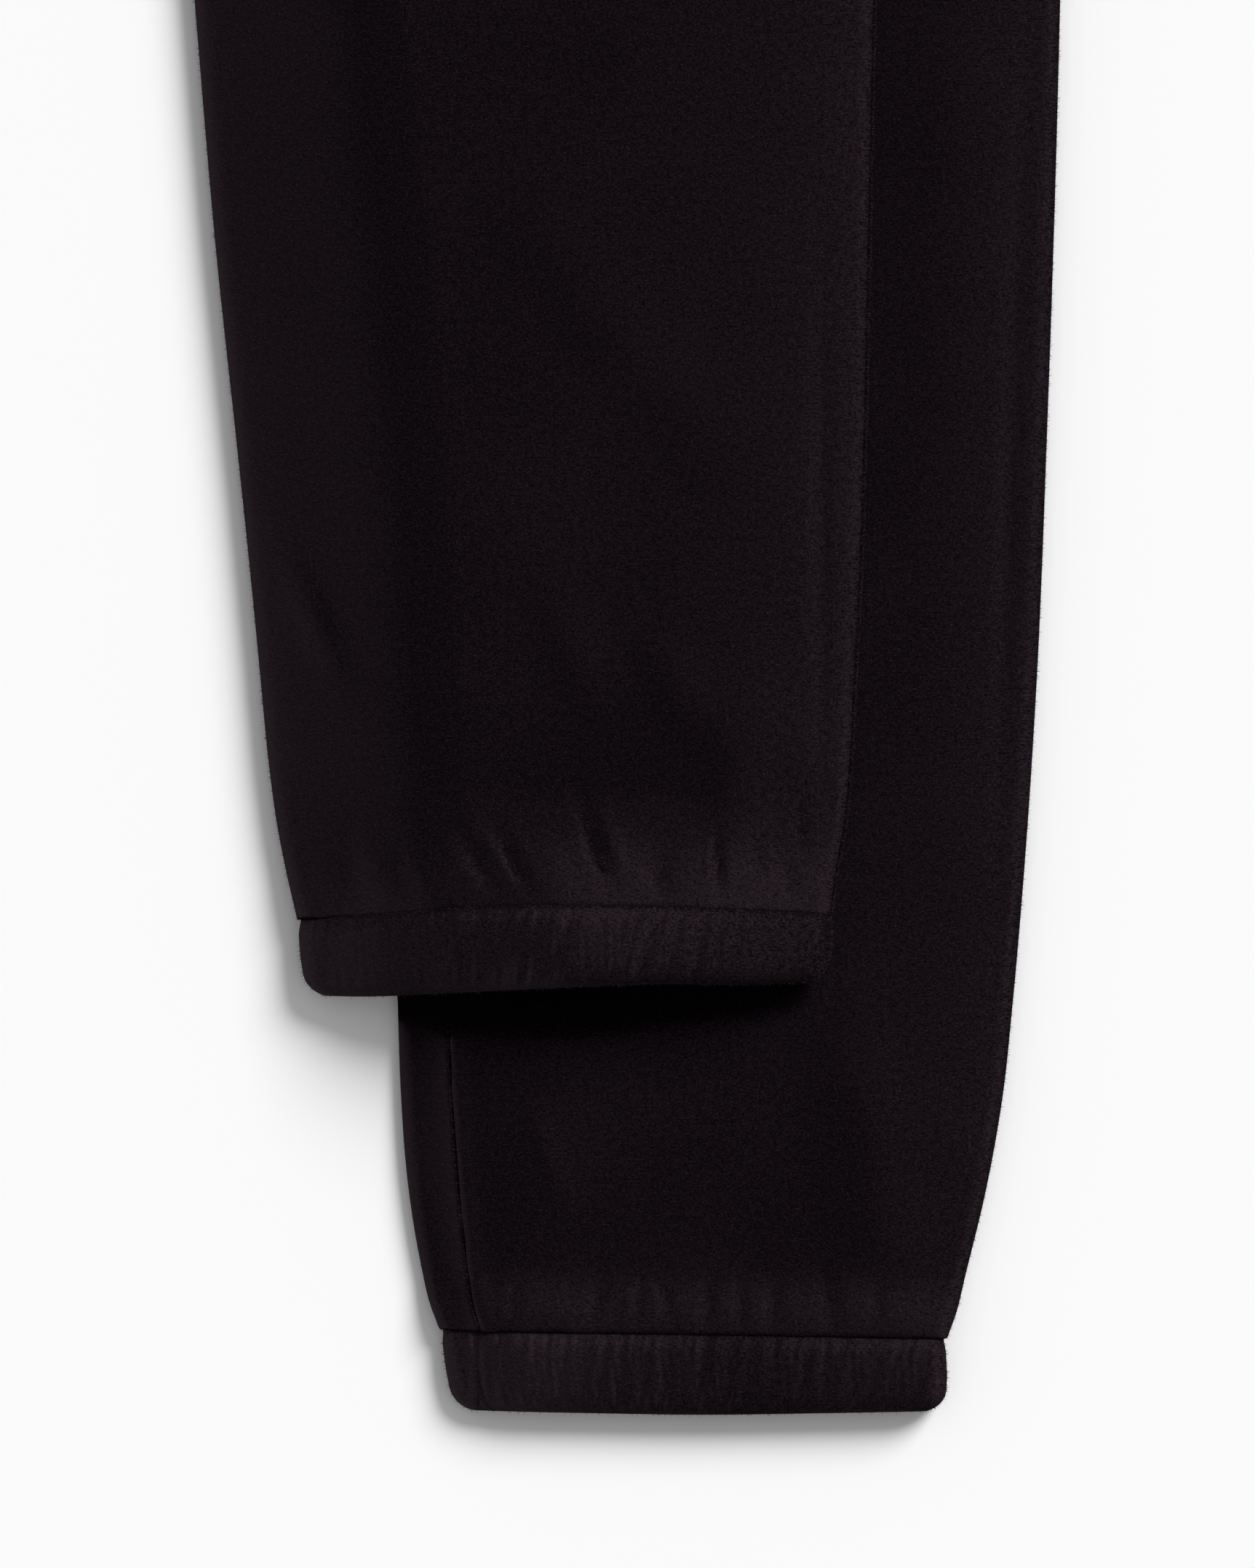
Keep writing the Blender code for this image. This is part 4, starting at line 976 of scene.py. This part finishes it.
def fibre_tips():
    """Single polyester fibres at the outline: they look paler than the pile, because light
    from the board passes round them."""
    return matt("fibre_tips", "#3c3436", 0.0)


def white_board():
    """White painted board under the garment, bright and even, with a trace of gloss."""
    return matt("white_board", "#f2f2f2", 0.1)


# ---- the scene -------------------------------------------------------------------------
def set_floor():
    """A level white floor, far larger than the view."""
    mesh = bpy.data.meshes.new("floor")
    reach = FLOOR_REACH
    corners = ((-reach, -reach), (reach, -reach), (reach, reach), (-reach, reach))
    mesh.from_pydata([(x, y, -FLOOR_BELOW) for x, y in corners], [], [(0, 1, 2, 3)])
    mesh.materials.append(white_board())
    floor = bpy.data.objects.new("floor", mesh)
    bpy.context.collection.objects.link(floor)


def set_light():
    """One large soft key from the upper right and an even white surround."""
    lamp = bpy.data.lights.new("softbox", "SUN")
    lamp.energy = KEY_STRENGTH
    lamp.angle = np.radians(KEY_ANGLE)
    key = bpy.data.objects.new("softbox", lamp)
    key.rotation_euler = (0.0, np.radians(90 - KEY_ELEVATION), np.radians(KEY_AZIMUTH))
    bpy.context.collection.objects.link(key)
    world = bpy.data.worlds.new("white_room")
    world.use_nodes = True
    surround = world.node_tree.nodes["Background"]
    surround.inputs["Color"].default_value = (1.0, 1.0, 1.0, 1.0)
    surround.inputs["Strength"].default_value = SKY_STRENGTH
    bpy.context.scene.world = world
    settings = bpy.context.scene.view_settings
    settings.view_transform = "Standard"
    settings.look = "None"


def set_camera():
    """A long lens straight above, framing the two hems."""
    lens = bpy.data.cameras.new("camera")
    lens.sensor_width = SENSOR
    lens.lens = SENSOR * CAMERA_HEIGHT / VIEW_HEIGHT
    camera = bpy.data.objects.new("camera", lens)
    place = to_row(np.array([[0.0, VIEW_CENTRE_Y, CAMERA_HEIGHT]]))[0]
    camera.location = place.tolist()
    bpy.context.collection.objects.link(camera)
    bpy.context.scene.camera = camera


def dress():
    """Every piece of cloth over its solid, with the solid hidden."""
    fleece = brushed_fleece("brushed_fleece", 0.0)
    stretched = brushed_fleece("stretched_fleece", STRETCHED)
    panels = (
        # piece         half     ply        columns       width  length  area
        ("back_left", "lower", back_ply, (26, 40, 4), 0.32, 0.96, 0.212),
        ("front_left", "lower", front_ply, (4, 100, 8), 0.30, 0.96, 0.193),
        ("front_right", "upper", front_ply, (4, 46, 8), 0.30, 0.96, 0.193),
        ("back_right", "upper", back_ply, (26, 100, 4), 0.32, 0.96, 0.212),
    )
    sheets, surfaces = [], []
    for node, half, ply, counts, width, length, area in panels:
        piece, outer = leg_panel(node + "_fleece", half, ply, counts, fleece)
        sheets.append((piece, node, "fleece", (width, length), area))
        surfaces.append(outer)
    for node, half, width in (("cuff_left", "lower", 0.285), ("cuff_right", "upper", 0.295)):
        piece, outer = cuff(node + "_casing", half, stretched)
        sheets.append((piece, node, "fleece_casing", (width, 0.0235), None))
        surfaces.append(outer)
    piece = waistband("waistband_casing", stretched)
    sheets.append((piece, "waistband", "fleece_casing", (0.78, 0.042), None))
    pile = loose_pile("loose_pile", surfaces, fibre_tips())
    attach(pile, "root")
    for piece, node, slot, flat, area in sheets:
        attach(piece, "root")
        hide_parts(node)


set_floor()
set_light()
set_camera()
dress()
